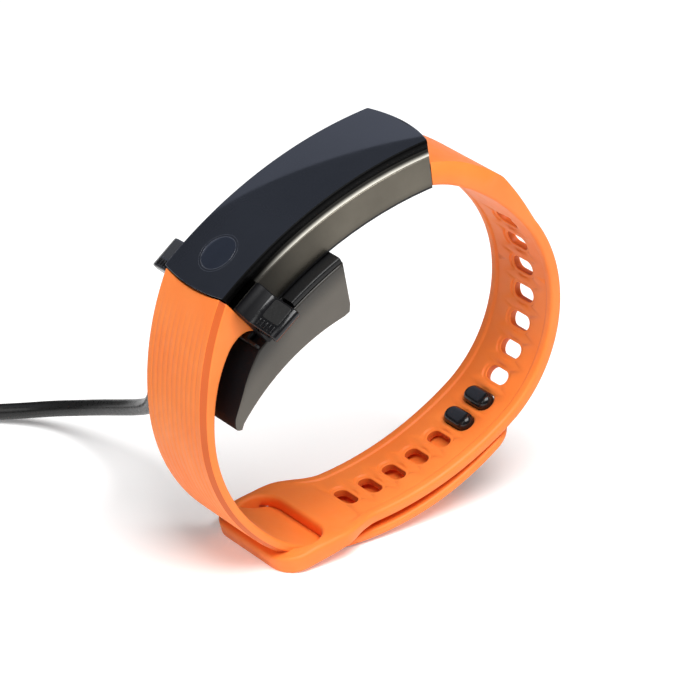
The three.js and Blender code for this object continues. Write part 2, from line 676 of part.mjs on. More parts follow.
function buildCord(group) {
  const floor = CORD_DIAMETER / 2 + 0.05;
  const route = [
    [-24.6, 17.0, 28.5], [-24.2, 19.2, 25.0], [-23.2, 21.6, 20.8], [-21.8, 24.6, 17.5], [-20.3, 28.5, 14.5],
    [-19.3, 33.3, 12.0], [-19.0, 39.0, 9.6], [-19.3, 45.0, 7.3], [-20.3, 50.5, 5.3], [-22.2, 55.5, 3.7],
    [-25.2, 60.0, 2.4], [-29.2, 63.8, floor + 0.3], [-33.5, 66.7, floor], [-42.5, 72, floor],
  ].map((point) => new THREE.Vector3(...point));
  addPiece(group, 'cable', tube(route, CORD_DIAMETER, 24), CORD_RUBBER);

  const half = COIL_BUNDLE / 2;
  const ringSection = [
    [COIL_RADIUS - half, 0.1], [COIL_RADIUS + half, 0.1],
    [COIL_RADIUS + half, COIL_BUNDLE], [COIL_RADIUS - half, COIL_BUNDLE], [COIL_RADIUS - half, 0.1],
  ].map(([radius, height]) => new THREE.Vector2(radius, height));
  const coil = new THREE.LatheGeometry(ringSection, 32);
  coil.rotateX(Math.PI / 2);
  coil.translate(COIL_CENTRE[0], COIL_CENTRE[1], 0);
  addPiece(group, 'cable_coil', coil, CORD_RUBBER);
}

function buildPlug(group) {
  const [bodyWidth, bodyLength, bodyHeight] = PLUG_BODY;
  const [shellWidth, shellLength, shellHeight] = PLUG_SHELL;
  const plug = new THREE.Group();
  const middle = bodyHeight / 2 + 0.05;
  const outerTurn = COIL_RADIUS + CORD_DIAMETER;
  plug.position.set(COIL_CENTRE[0] - outerTurn, COIL_CENTRE[1] - PLUG_DISTANCE, middle);
  group.add(plug);

  const body = upright(roundedRectangle(bodyWidth, bodyLength, 2), -bodyHeight / 2, bodyHeight / 2, 3);
  body.translate(0, -bodyLength / 2, 0);
  addPiece(plug, 'plug_grip', body, CORD_RUBBER);

  const shellY = -bodyLength - 0.1 - shellLength / 2;
  const sleeve = new THREE.BoxGeometry(shellWidth, shellLength, shellHeight);
  const innerWidth = shellWidth - 2 * PLUG_SHELL_WALL;
  const innerHeight = shellHeight - 2 * PLUG_SHELL_WALL;
  const sleeveRoom = new THREE.BoxGeometry(innerWidth, shellLength, innerHeight);
  sleeveRoom.translate(0, -PLUG_SHELL_WALL, 0);
  addPiece(plug, 'plug_shell', cut(sleeve, [sleeveRoom]).translate(0, shellY, 0), STEEL);

  const tongueHeight = 1.8;
  const tongue = new THREE.BoxGeometry(innerWidth - 0.4, shellLength - 2, tongueHeight);
  tongue.translate(0, shellY + 0.3, (innerHeight - tongueHeight) / 2 - 0.1);
  addPiece(plug, 'plug_tongue', tongue, BLACK_PLASTIC);

  const leadStart = plug.position.clone().setY(plug.position.y + GAP);
  const leadLength = 10.3;
  const drop = middle - CORD_DIAMETER / 2 - 0.05;
  const lead = [0, 1 / 3, 2 / 3, 1].map((share) =>
    leadStart.clone().add(new THREE.Vector3(0, share * leadLength, -drop * share ** 2 * (3 - 2 * share))));
  addPiece(group, 'plug_lead', tube(lead, CORD_DIAMETER, 4), CORD_RUBBER);
}

// ---- Assembly -----------------------------------------------------------------------

const root = new THREE.Group();
const ring = new THREE.Group();
ring.position.z = RING_CENTRE_HEIGHT;
root.add(ring);

/** A nested group for a set of pieces that move together. */
function subGroup() {
  const group = new THREE.Group();
  ring.add(group);
  return group;
}

const [cradle, nearLatch, farLatch, pogoOne, pogoTwo] = Array.from({ length: 5 }, subGroup);
const [band, motorWeight, tail] = Array.from({ length: 3 }, subGroup);
buildCradleBody(cradle);
buildPogoPins([pogoOne, pogoTwo]);
buildLatch(cradle, nearLatch, 'near', -1);
buildLatch(cradle, farLatch, 'far', 1);
const { motorRadius } = buildTracker(band);
buildVibrationMotor(band, motorWeight, motorRadius);
buildStrapA(band);
buildStrapB(band);
buildTail(tail);
buildStrainRelief(root);
buildCord(root);
buildPlug(root);

export default root;
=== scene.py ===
"""Looks of a buckled fitness tracker band, clipped into its charging cradle, with its cable.

Lengths are in millimetres unless a name or comment says metres; MM turns them into Blender's metres.
The band's ring lies in the X-Z plane, so an outline in that plane is a list of (x, z) vectors.
"""
import math

import bmesh
import bpy
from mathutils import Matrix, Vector


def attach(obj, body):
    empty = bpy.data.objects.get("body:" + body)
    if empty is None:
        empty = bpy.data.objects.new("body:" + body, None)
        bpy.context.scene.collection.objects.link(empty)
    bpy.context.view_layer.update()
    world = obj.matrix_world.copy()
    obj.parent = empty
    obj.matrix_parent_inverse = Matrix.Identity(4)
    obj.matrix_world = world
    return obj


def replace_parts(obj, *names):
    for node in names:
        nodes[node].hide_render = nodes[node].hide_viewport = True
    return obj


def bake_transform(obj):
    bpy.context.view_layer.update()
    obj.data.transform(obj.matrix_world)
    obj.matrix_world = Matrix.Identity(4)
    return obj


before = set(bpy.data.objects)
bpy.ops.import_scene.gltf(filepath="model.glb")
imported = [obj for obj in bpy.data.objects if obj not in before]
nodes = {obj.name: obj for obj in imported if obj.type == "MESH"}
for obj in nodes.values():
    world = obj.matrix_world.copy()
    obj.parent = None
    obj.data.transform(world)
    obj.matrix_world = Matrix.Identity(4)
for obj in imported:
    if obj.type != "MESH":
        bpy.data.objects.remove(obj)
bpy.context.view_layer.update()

# ---- Driving dimensions, as in the CAD ------------------------------------------------------------

MM = 0.001
RING_HEIGHT = 32.95                      # of the ring's centre above the floor
HALF_WIDTH = 8.25                        # of the band
GAP = 0.3

ARC_CENTRE = Vector((17.2, RING_HEIGHT - 38))
GLASS_RADIUS = 72
WALL_TOP = 69.25
WALL_BOTTOM = 63.8
TRACKER_ANGLES = (97.5, 130.9)           # right and left ends, about the arc's centre
END_BULGES = (1.4, 0.9)                  # how far those ends bow into the straps
TOUCH_ANGLE = 126.3
TOUCH_RADIUS = 3.1

STRAP = 1.9                              # thickness of the thin parts of both straps
RIB_PITCH = 1.32                         # of the fine grooves along both straps' outer faces
RIB_GROOVE = 0.2                         # how wide each groove is
TAIL_JOINT = 75.5                        # along strap A
HOLE_COUNT = 14
HOLE_PITCH = 4.69
FIRST_HOLE = 24.8                        # along strap B
POST_HOLES = (7, 8)
POST_HEAD = 0.9

CRADLE_HALF = 10.75
CRADLE_TOP = 63.4
CRADLE_LID = 1.0
CRADLE_ANGLES = (115.5, 133.0)
LATCH_ANGLE = 128.7
LATCH_LENGTH = 5.6

CORD = 2.7                               # diameter
COIL_CENTRE = Vector((-60.5, 62.0))
COIL_RADIUS = 15.0
CORD_EXIT = Vector((-24.6, CRADLE_HALF, 35.3))
CORD_DIRECTION = Vector((0, 0.545, -0.839)).normalized()
RELIEF_LENGTH = 7.5
PLUG_BACK = Vector((COIL_CENTRE.x - COIL_RADIUS - CORD, COIL_CENTRE.y - 21, 3.55))
PLUG_BODY = Vector((15, 21, 7))
PLUG_SHELL = Vector((12, 18, 4.5))

# ---- Camera ---------------------------------------------------------------------------------------

VIEW_AZIMUTH = math.radians(-35)
VIEW_ELEVATION = math.radians(25)
VIEW_DISTANCE = 0.75                     # metres
VIEW_TARGET = Vector((-2.17, 0.85, 31.77)) * MM
LENS = 253.3                             # on a sensor 36 wide


def add_object(name, data):
    made = bpy.data.objects.new(name, data)
    bpy.context.scene.collection.objects.link(made)
    return made


def face_target(thing, target, azimuth, elevation, distance):
    """Puts a camera or light at this distance from a target, looking at it. The angles are in radians."""
    level = math.cos(elevation)
    backwards = Vector((math.sin(azimuth) * level, -math.cos(azimuth) * level, math.sin(elevation)))
    thing.location = target + backwards * distance
    thing.rotation_euler = backwards.to_track_quat("Z", "Y").to_euler()


def make_camera():
    camera = add_object("camera", bpy.data.cameras.new("camera"))
    camera.data.lens = LENS
    camera.data.sensor_width = 36
    face_target(camera, VIEW_TARGET, VIEW_AZIMUTH, VIEW_ELEVATION, VIEW_DISTANCE)
    bpy.context.scene.camera = camera


make_camera()

# ---- Materials ------------------------------------------------------------------------------------


class Nodes:
    """A material's node tree, with short ways to add and join nodes."""

    def __init__(self, name):
        self.material = bpy.data.materials.new(name)
        self.material.use_nodes = True
        self.tree = self.material.node_tree
        self.shader = self.tree.nodes["Principled BSDF"]
        coordinates = self.add("ShaderNodeTexCoord")
        self.place = coordinates.outputs["Object"]

    def add(self, kind, **settings):
        node = self.tree.nodes.new(kind)
        for key, value in settings.items():
            setattr(node, key, value)
        return node

    def join(self, source, target):
        self.tree.links.new(source, target)

    def noise(self, size, detail=3.0, stretch=(1, 1, 1)):
        """Noise with features of about this size, in millimetres."""
        mapping = self.add("ShaderNodeMapping")
        mapping.inputs["Scale"].default_value = stretch
        self.join(self.place, mapping.inputs["Vector"])
        noise = self.add("ShaderNodeTexNoise")
        noise.inputs["Scale"].default_value = 1 / (size * MM)
        noise.inputs["Detail"].default_value = detail
        self.join(mapping.outputs["Vector"], noise.inputs["Vector"])
        return noise.outputs["Fac"]

    def settle(self, **settings):
        """Sets the shader's inputs, each named as Blender names it but with _ for a space."""
        for socket, value in settings.items():
            self.shader.inputs[socket.replace("_", " ")].default_value = value

    def ramp(self, value, start, end, first, last, **settings):
        """A value that goes from first to last as another goes from start to end."""
        ramp = self.add("ShaderNodeMapRange", **settings)
        for socket, number in zip(("From Min", "From Max", "To Min", "To Max"), (start, end, first, last)):
            ramp.inputs[socket].default_value = number
        self.join(value, ramp.inputs["Value"])
        return ramp.outputs["Result"]

    def between(self, factor, low, high):
        """A value that goes from low to high as a noise goes from dark to light."""
        return self.ramp(factor, 0.3, 0.7, low, high)

    def along(self, axis):
        """Object space in millimetres: x, y or z, or the distance from the tracker's arc centre."""
        split = self.add("ShaderNodeSeparateXYZ")
        self.join(self.place, split.inputs[0])
        if axis != "radius":
            return split.outputs[axis.upper()]
        flat = self.add("ShaderNodeCombineXYZ")
        self.join(split.outputs["X"], flat.inputs["X"])
        self.join(split.outputs["Z"], flat.inputs["Z"])
        reach = self.add("ShaderNodeVectorMath", operation="DISTANCE")
        reach.inputs[1].default_value = (ARC_CENTRE.x * MM, 0, ARC_CENTRE.y * MM)
        self.join(flat.outputs[0], reach.inputs[0])
        return reach.outputs["Value"]

    def shade(self, color, axis, start, end, first, last):
        """For painted shade and painted reflection: a colour multiplied by a value that goes from first to
        last between two places on an axis.
        """
        amount = self.ramp(self.along(axis), start * MM, end * MM, first, last,
                           interpolation_type="SMOOTHSTEP")
        scale = self.add("ShaderNodeVectorMath", operation="SCALE")
        self.join(color, scale.inputs[0])
        self.join(amount, scale.inputs["Scale"])
        return scale.outputs["Vector"]

    def tint(self, factor, dark, light):
        mix = self.add("ShaderNodeMix", data_type="RGBA")
        mix.inputs["A"].default_value = (*dark, 1)
        mix.inputs["B"].default_value = (*light, 1)
        self.join(self.between(factor, 0, 1), mix.inputs["Factor"])
        return mix.outputs["Result"]

    def bump(self, height, depth, below=None):
        """A bump of this depth in millimetres, on top of another bump."""
        bump = self.add("ShaderNodeBump")
        bump.inputs["Distance"].default_value = depth * MM
        self.join(height, bump.inputs["Height"])
        if below is not None:
            self.join(below, bump.inputs["Normal"])
        return bump.outputs["Normal"]


def make_material(name, color, roughness, *, metallic=0.0, variation=0.08, blotch=6.0, grain=0.25,
                  depth=0.01, stretch=(1, 1, 1), coat=0.0, specular=0.5, spread=0.06, shades=()):
    """A moulded or machined surface: cloudy colour, uneven gloss, a fine grain, and the painted shade and
    painted reflection ramps listed in shades.
    """
    made = Nodes(name)
    clouds = made.noise(blotch)
    dark = [channel * (1 - variation) for channel in color]
    light = [min(channel * (1 + variation), 1) for channel in color]
    tone_and_any_painted_shade = made.tint(clouds, dark, light)
    # The shades ramps paint shade and reflection onto the colour.
    for axis, start, end, first, last in shades:
        tone_and_any_painted_shade = made.shade(tone_and_any_painted_shade, axis, start, end, first, last)
    made.join(tone_and_any_painted_shade, made.shader.inputs["Base Color"])
    fine = made.noise(grain, stretch=stretch)
    gloss = made.between(fine, max(roughness - spread, 0.02), roughness + spread)
    made.join(gloss, made.shader.inputs["Roughness"])
    made.join(made.bump(fine, depth), made.shader.inputs["Normal"])
    made.settle(Metallic=metallic, Coat_Weight=coat, Specular_IOR_Level=specular)
    return made.material


def make_rubber(name, dark, light):
    """Orange elastomer: matt, very finely grained, a little deeper in colour in patches."""
    made = Nodes(name)
    clouds = made.noise(9, detail=4)
    made.join(made.tint(clouds, dark, light), made.shader.inputs["Base Color"])
    satin = made.noise(2.5)
    made.join(made.between(satin, 0.47, 0.58), made.shader.inputs["Roughness"])
    broad = made.bump(made.noise(1.2), 0.012)
    made.join(made.bump(made.noise(0.09, detail=2), 0.006, broad), made.shader.inputs["Normal"])
    made.settle(Specular_IOR_Level=0.4, Sheen_Weight=0.04, Sheen_Roughness=0.5, Subsurface_Weight=0.06,
                Subsurface_Radius=(0.9 * MM, 0.3 * MM, 0.1 * MM), Subsurface_Scale=1.0)
    return made.material


RUBBER = make_rubber("orange_rubber", (0.95, 0.215, 0.03), (0.98, 0.25, 0.042))
# Painted shade: a darker copy of the rubber, for strap A's bevel band and strap B's hole walls.
RUBBER_PAINTED_SHADE = make_rubber("orange_rubber_painted_shade", (0.62, 0.105, 0.011), (0.66, 0.12, 0.014))
GLASS = make_material(
    "glass", (0.018, 0.0205, 0.0275), 0.03, variation=0.1, blotch=14, grain=4, depth=0.0002, spread=0.01)
GLASS_EDGE = make_material(
    "glass_edge", (0.002, 0.002, 0.002), 0.4, specular=0.04, grain=0.6, depth=0.002)
PRINT = make_material("touch_ring_print", (0.04, 0.045, 0.06), 0.1, blotch=1.5, grain=0.2, depth=0.0005)
TOUCH_TINT = make_material(
    "touch_area", (0.018, 0.022, 0.033), 0.04, variation=0.05, blotch=3, grain=4, depth=0.0002, spread=0.01)
# Painted shade darkens the wall towards its left end, by the latch; the colour is also darker within the
# wall's lowest millimetre.
GUNMETAL = make_material(
    "gunmetal", (0.128, 0.115, 0.092), 0.36, metallic=0.85, variation=0.1, blotch=5, grain=0.22, depth=0.004,
    stretch=(1, 6, 6), spread=0.08, shades=[("x", -25, -6, 0.12, 1.0), ("radius", 64, 65, 0.7, 1.0)])
# Painted shade darkens the chamfer towards its left end, by the latch, and a painted reflection takes it from
# bright at its foot to dark towards the glass.
BRIGHT_METAL = make_material(
    "bright_metal", (0.72, 0.69, 0.61), 0.24, metallic=1.0, grain=0.3, depth=0.001, stretch=(1, 5, 5),
    shades=[("x", -24, -15, 0.05, 1.0), ("radius", 69.4, 70.15, 1.0, 0.03)])
# Painted shadow darkens the cradle's sides towards the lid.
CRADLE_GREY = make_material(
    "cradle_grey", (0.098, 0.086, 0.07), 0.42, variation=0.07, blotch=7, grain=0.16, depth=0.009,
    shades=[("radius", 58.5, 62.3, 1.0, 0.25)])
ARM_BLACK = make_material("arm_black", (0.004, 0.004, 0.005), 0.5, specular=0.15, grain=0.2, depth=0.006)
BLACK_PLASTIC = make_material(
    "black_plastic", (0.006, 0.006, 0.0065), 0.36, specular=0.3, grain=0.2, depth=0.006)
GLOSS_BLACK = make_material("gloss_black", (0.008, 0.008, 0.009), 0.2, specular=0.4, grain=0.5, depth=0.002)
GRIP_BLACK = make_material("grip_black", (0.02, 0.02, 0.02), 0.38, grain=0.3, depth=0.05)
CORD_RUBBER = make_material("cord_rubber", (0.012, 0.012, 0.012), 0.3, grain=0.5, depth=0.003, specular=0.36)
STEEL = make_material(
    "steel", (0.62, 0.63, 0.64), 0.28, metallic=1.0, grain=0.2, depth=0.001, stretch=(1, 6, 1))
BLACK_STEEL = make_material("black_steel", (0.02, 0.02, 0.021), 0.4, metallic=0.6, grain=0.2, depth=0.003)
GOLD = make_material("gold", (0.8, 0.55, 0.2), 0.25, metallic=1.0, grain=0.3, depth=0.001)
BOARD_GREEN = make_material("board_green", (0.015, 0.11, 0.05), 0.45, variation=0.25, blotch=1.4, grain=0.3)
CELL_SILVER = make_material(
    "cell_silver", (0.4, 0.41, 0.43), 0.35, metallic=0.7, blotch=2, grain=0.6, depth=0.03)
GREEN_DIODE = make_material("green_diode", (0.12, 0.7, 0.25), 0.15, coat=0.5, grain=0.4, depth=0.002)
DARK_DIODE = make_material("dark_diode", (0.02, 0.016, 0.03), 0.12, coat=0.5, grain=0.4, depth=0.002)
DISPLAY = make_material("display", (0.006, 0.007, 0.01), 0.2, grain=0.4, depth=0.001)
GASKET = make_material("gasket", (0.03, 0.03, 0.034), 0.8, grain=0.15, depth=0.02)
TIE = make_material("tie", (0.02, 0.02, 0.022), 0.6, variation=0.3, blotch=0.5, grain=0.12, depth=0.03)

# ---- Mesh helpers ---------------------------------------------------------------------------------


def unit(turn):
    """The flat direction at an angle in radians."""
    return Vector((math.cos(turn), math.sin(turn)))


def lift(flat, y):
    """A flat (x, z) point, at this y."""
    return Vector((flat.x, y, flat.y))


def polar(radius, angle):
    """The (x, z) point at a radius and an angle in degrees about the tracker's arc centre."""
    return ARC_CENTRE + unit(math.radians(angle)) * radius


def on_arc(angle, along, y, radius):
    """A point in a flat frame that touches the arc at an angle: along its tangent, across, and outwards."""
    outward = unit(math.radians(angle))
    tangent = Vector((outward.y, -outward.x))
    return lift(ARC_CENTRE + tangent * along + outward * radius, y)


def smooth(value, low, high):
    """0 below low, 1 above high, and a soft step between."""
    share = min(max((value - low) / (high - low), 0), 1)
    return share * share * (3 - 2 * share)


def fillet(distance, radius):
    """How far a face drops at this distance from its edge, where the edge is rounded."""
    inside = max(radius - max(distance, 0), 0)
    return radius - math.sqrt(radius * radius - inside * inside)


def even(low, high, count):
    return [low + (high - low) * step / count for step in range(count + 1)]


def make_mesh(name, points, faces, material, body=None):
    """A smooth mesh from points in millimetres, which rides on a body."""
    mesh = bpy.data.meshes.new(name)
    mesh.from_pydata([point * MM for point in points], [], faces)
    made = bmesh.new()
    made.from_mesh(mesh)
    bmesh.ops.recalc_face_normals(made, faces=made.faces)
    caps = [face for face in made.faces if len(face.verts) > 4]
    bmesh.ops.triangulate(made, faces=caps, ngon_method="EAR_CLIP")
    made.to_mesh(mesh)
    made.free()
    mesh.shade_smooth()
    mesh.materials.append(material)
    piece = add_object(name, mesh)
    if body:
        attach(piece, body)
    return piece


def loft(name, rings, material, body=None, closed=False):
    """A skin over closed rings of points. Its ends are capped unless the rings come round again."""
    count = len(rings[0])
    points = [point for ring in rings for point in ring]
    faces = []
    pairs = len(rings) if closed else len(rings) - 1
    for row in range(pairs):
        this, other = row * count, (row + 1) % len(rings) * count
        for i in range(count):
            j = (i + 1) % count
            faces.append((this + i, this + j, other + j, other + i))
    if not closed:
        faces.append(tuple(range(count)))
        faces.append(tuple(range(len(points) - count, len(points))))
    return make_mesh(name, points, faces, material, body)


def keep_flats(piece, angle=35):
    """Shades corners sharper than this angle as edges."""
    modifier = piece.modifiers.new("flats", "EDGE_SPLIT")
    modifier.split_angle = math.radians(angle)
    return piece


def inset_outline(outline, distance):
    """An anticlockwise outline moved inwards by a distance."""
    moved = []
    for i, point in enumerate(outline):
        before = (point - outline[i - 1]).normalized()
        after = (outline[(i + 1) % len(outline)] - point).normalized()
        inward = Vector((-before.y - after.y, before.x + after.x)).normalized()
        lean = max(inward.dot(Vector((-before.y, before.x))), 0.4)
        moved.append(point + inward * (distance / lean))
    return moved


def prism(name, outline, low, high, place, material, body, radius=0.5, steps=5):
    """An outline extruded from low to high, with both its rims rounded. place(u, v, w) is a 3-D point."""
    levels = [(radius * 1.4, low)]
    for step in range(steps + 1):
        turn = math.pi / 2 * step / steps
        levels.append((radius * (1 - math.sin(turn)), low + radius * (1 - math.cos(turn))))
    levels += [(inset, high + low - level) for inset, level in reversed(levels)]
    rings = [[place(p.x, p.y, level) for p in inset_outline(outline, inset)] for inset, level in levels]
    return loft(name, rings, material, body)


def bend(start, control, end, count):
    """Points of a curve pulled towards one control point."""
    shares = even(0, 1, count)
    return [start.lerp(control, share).lerp(control.lerp(end, share), share) for share in shares]


def rounded_corners(corners, radius, steps=5):
    """An outline with its corners rounded. A corner may be (x, y) or (x, y, radius)."""
    outline = []
    for i, (x, y, *own) in enumerate(corners):
        corner = Vector((x, y))
        reach = own[0] if own else radius
        before = (Vector(corners[i - 1][:2]) - corner).normalized()
        after = (Vector(corners[(i + 1) % len(corners)][:2]) - corner).normalized()
        outline += bend(corner + before * reach, corner, corner + after * reach, steps)
    return outline


def rounded_box(half_x, half_y, radius, steps):
    """A rectangle about the origin with its corners rounded."""
    corners = [(-half_x, -half_y), (half_x, -half_y), (half_x, half_y), (-half_x, half_y)]
    return rounded_corners(corners, radius, steps)


def stadium(width, length, steps=10):
    """An outline with half-circle ends, its long side along its second coordinate."""
    radius, reach = width / 2, (length - width) / 2
    turns = even(0, math.pi, steps)
    upper = [Vector((radius * math.cos(t), reach + radius * math.sin(t))) for t in turns]
    return upper + [-point for point in upper]


def carve(piece, cutter):
    """Cuts one mesh out of another and removes the cutter."""
    modifier = piece.modifiers.new("cut", "BOOLEAN")
    modifier.operation = "DIFFERENCE"
    modifier.solver = "EXACT"
    modifier.object = cutter
    shape = bpy.data.meshes.new_from_object(piece.evaluated_get(bpy.context.evaluated_depsgraph_get()))
    piece.modifiers.clear()
    piece.data = shape
    bpy.data.objects.remove(cutter)


# ---- Cable ----------------------------------------------------------------------------------------

# The stretch that isn't coiled, in metres, as part.mjs routes it.
CABLE_ROUTE = [
    (-0.0242, 0.0192, 0.0250), (-0.0232, 0.0216, 0.0208), (-0.0218, 0.0246, 0.0175),
    (-0.0203, 0.0285, 0.0145), (-0.0193, 0.0333, 0.0120), (-0.0190, 0.0390, 0.0096),
    (-0.0193, 0.0450, 0.0073), (-0.0203, 0.0505, 0.0053), (-0.0222, 0.0555, 0.0037),
    (-0.0252, 0.0600, 0.0024), (-0.0292, 0.0638, 0.0017), (-0.0335, 0.0667, 0.0015),
    (-0.0425, 0.0720, 0.0018),
]
LAYERS = [1.9, 1.9 + CORD, 1.9 + 2 * CORD]
COLUMNS = [COIL_RADIUS + CORD, COIL_RADIUS, COIL_RADIUS - CORD]
# The order in which the turns fill the bundle, as (column, layer): in, up, out and down.
WINDING = [(0, 0), (1, 0), (2, 0), (2, 1), (2, 2), (1, 2), (1, 1), (0, 1)]


def coil_points():
    """The centreline of the coil. Each turn steps to its next place before the turn below gets there."""
    start = 59.7
    end = 180 + 360 * 7
    first_step = 250
    step_every = 360 - 42
    step_length = 40
    points = []
    for angle in even(start, end, 190):
        column = COLUMNS[0]
        layer = LAYERS[0]
        for index, (here, there) in enumerate(zip(WINDING, WINDING[1:])):
            begin = first_step + index * step_every
            share = smooth(angle, begin, begin + step_length)
            column += (COLUMNS[there[0]] - COLUMNS[here[0]]) * share
            layer += (LAYERS[there[1]] - LAYERS[here[1]]) * share
        flat = COIL_CENTRE + unit(math.radians(angle)) * column
        points.append(Vector((flat.x, flat.y, layer)) * MM)
    return points


def make_cable():
    relief_end = CORD_EXIT + Vector((0, 1.85, 0)) + CORD_DIRECTION * RELIEF_LENGTH
    start = relief_end - CORD_DIRECTION * 3
    lead = [
        Vector((PLUG_BACK.x, COIL_CENTRE.y - 6, LAYERS[1] - 0.1)),
        Vector((PLUG_BACK.x, COIL_CENTRE.y - 12, LAYERS[1] - 0.5)),
        PLUG_BACK + Vector((0, 4, 0)),
        PLUG_BACK - Vector((0, 2, 0)),
    ]
    route = [start * MM] + [Vector(point) for point in CABLE_ROUTE]
    points = route + coil_points() + [point * MM for point in lead]
    data = bpy.data.curves.new("cable_line", "CURVE")
    data.dimensions = "3D"
    data.bevel_depth = CORD / 2 * MM
    data.bevel_resolution = 6
    data.resolution_u = 4
    data.use_fill_caps = True
    spline = data.splines.new("BEZIER")
    spline.bezier_points.add(len(points) - 1)
    for knot, point in zip(spline.bezier_points, points):
        knot.co = point
        knot.handle_left_type = "AUTO"
        knot.handle_right_type = "AUTO"
    data.materials.append(CORD_RUBBER)
    cable = add_object("charging_cable", data)
    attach(cable, "cradle")
    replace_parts(cable, "cable", "cable_coil", "plug_lead")
    return cable, relief_end


def make_strain_relief():
    """A ribbed, tapered boot on a round collar."""
    across = Vector((1, 0, 0))
    up = CORD_DIRECTION.cross(across)
    base = CORD_EXIT + Vector((0, 0.2, 0))
    elbow = base + Vector((0, 1.4, 0))
    rings = []

    def ring(centre, along, radius):
        side = along.cross(across).normalized()
        turns = even(0, 2 * math.pi, 28)[:-1]
        rings.append([centre + (across * math.cos(t) + side * math.sin(t)) * radius for t in turns])

    outward = Vector((0, 1, 0))
    for radius, rise in [(0.4, 0), (1.7, 0), (1.95, 0.2), (1.95, 1.1)]:
        ring(base + outward * rise, outward, radius)
    ring(elbow, (outward + CORD_DIRECTION).normalized(), 1.92)
    for step in range(33):
        share = step / 32
        groove = 0.14 * max(math.sin(share * math.pi * 12), 0)
        ring(elbow + CORD_DIRECTION * (0.8 + share * 7.0), CORD_DIRECTION, 1.88 - 0.32 * share - groove)
    ring(elbow + CORD_DIRECTION * 7.8, CORD_DIRECTION, 1.38)
    relief = loft("strain_relief_boot", rings, CORD_RUBBER, "cradle")
    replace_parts(relief, "strain_relief")
    return relief


def make_ties():
    """Two hook-and-loop ties round the coil's bundle."""
    ties = []
    for index, angle in enumerate((20, 215)):
        half = CORD * 1.5 + 0.25
        section = rounded_box(half, half, 1.6, 6)
        outward = unit(math.radians(angle)).to_3d()
        along = Vector((-outward.y, outward.x, 0))
        middle = Vector((COIL_CENTRE.x, COIL_CENTRE.y, LAYERS[1])) + outward * COIL_RADIUS
        rings = []
        for shift, grow in [(-2, 0), (-2, 0.35), (2, 0.35), (2, 0)]:
            ring = []
            for point in inset_outline(section, -grow):
                ring.append(middle + along * shift + outward * point.x + Vector((0, 0, point.y)))
            rings.append(ring)
        ties.append(keep_flats(loft(f"cable_tie_{index + 1}", rings, TIE, "cradle", closed=True)))
    return ties


def make_plug():
    """The grip with its boot and thumb ridges, the folded shell with its windows, and the tongue."""
    def place(x, z, y):
        return Vector((PLUG_BACK.x + x, PLUG_BACK.y - PLUG_BODY.y + y, PLUG_BACK.z + z))

    half = PLUG_BODY.x / 2, PLUG_BODY.z / 2 - 0.05
    levels = [(0.5, 0, 1.2), (0.1, 0.15, 1.6), (0, 0.6, 1.8), (0, 14, 1.8), (0.5, 17, 1.9), (2.2, 20, 1.4),
              (3.1, 20.8, 0.4)]
    rings = []
    for squeeze, y, corner in levels:
        width, height = half[0] - squeeze, half[1] - squeeze * 0.35
        outline = rounded_box(width, height, corner, 6)
        rings.append([place(p.x, p.y, y) for p in outline])
    grip = loft("plug_body", rings, CORD_RUBBER, "cradle")
    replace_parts(grip, "plug_grip")
    pieces = [grip]
    for side in (-1, 1):
        for row in range(5):
            bar = rounded_box(3.4, 0.3, 0.28, 3)
            y = 5 + row * 1.6
            pieces.append(prism(
                f"plug_ridge_{row + 1}_{'low' if side < 0 else 'top'}", bar, 0, 0.5,
                lambda u, v, w, y=y, side=side: place(u, side * (half[1] - 0.35 + w), y + v),
                CORD_RUBBER, "cradle", radius=0.15, steps=3))
    boot_rings = []
    for step in range(25):
        share = step / 24
        groove = 0.2 * max(math.sin(share * math.pi * 8), 0)
        radius = 2.6 - 0.9 * share - groove
        turns = even(0, 2 * math.pi, 24)[:-1]
        up = 20.5 + share * 7
        boot_rings.append([place(radius * math.cos(t), radius * math.sin(t), up) for t in turns])
    pieces.append(loft("plug_boot", boot_rings, CORD_RUBBER, "cradle"))

    width, height = PLUG_SHELL.x / 2, PLUG_SHELL.z / 2
    wall = 0.35
    outer = rounded_box(width, height, 0.7, 5)
    front, back = -PLUG_SHELL.y - 0.1, -0.1
    shell_levels = [(0, back), (0, front + 0.3), (0.1, front), (wall - 0.05, front), (wall, front + 0.3),
                    (wall, back)]
    shell_rings = [[place(p.x, p.y, y) for p in inset_outline(outer, inset)] for inset, y in shell_levels]
    shell = loft("plug_sleeve", shell_rings, STEEL, "cradle", closed=True)
    for x in (-2.9, 2.9):
        window = rounded_box(1.2, 1.15, 0.15, 2)
        carve(shell, prism("window", window, -5, 5, lambda u, v, w, x=x: place(x + u, w, -7 + v), STEEL, None,
                           radius=0.01, steps=1))
    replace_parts(keep_flats(shell), "plug_shell")
    pieces.append(shell)

    tongue_outline = rounded_box(5.35, 0.9, 0.2, 3)
    tongue = prism("plug_insert", tongue_outline, front + 1.2, back - 0.3,
                   lambda u, v, w: place(u, v + 0.85, w), BLACK_PLASTIC, "cradle", radius=0.2, steps=3)
    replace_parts(tongue, "plug_tongue")
    pieces.append(tongue)
    for index in range(4):
        x = (index - 1.5) * 2.4
        strip = rounded_corners([(-0.5, 0), (0.5, 0), (0.5, 7.5), (-0.5, 7.5)], 0.1, 2)
        pieces.append(prism(f"plug_contact_{index + 1}", strip, 0, 0.2,
                            lambda u, v, w, x=x: place(x + u, -0.12 + w, front + 2 + v), GOLD, "cradle",
                            radius=0.05, steps=2))
    return pieces


cable, relief_end = make_cable()
make_strain_relief()
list(make_ties())
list(make_plug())

# ---- Straps ---------------------------------------------------------------------------------------


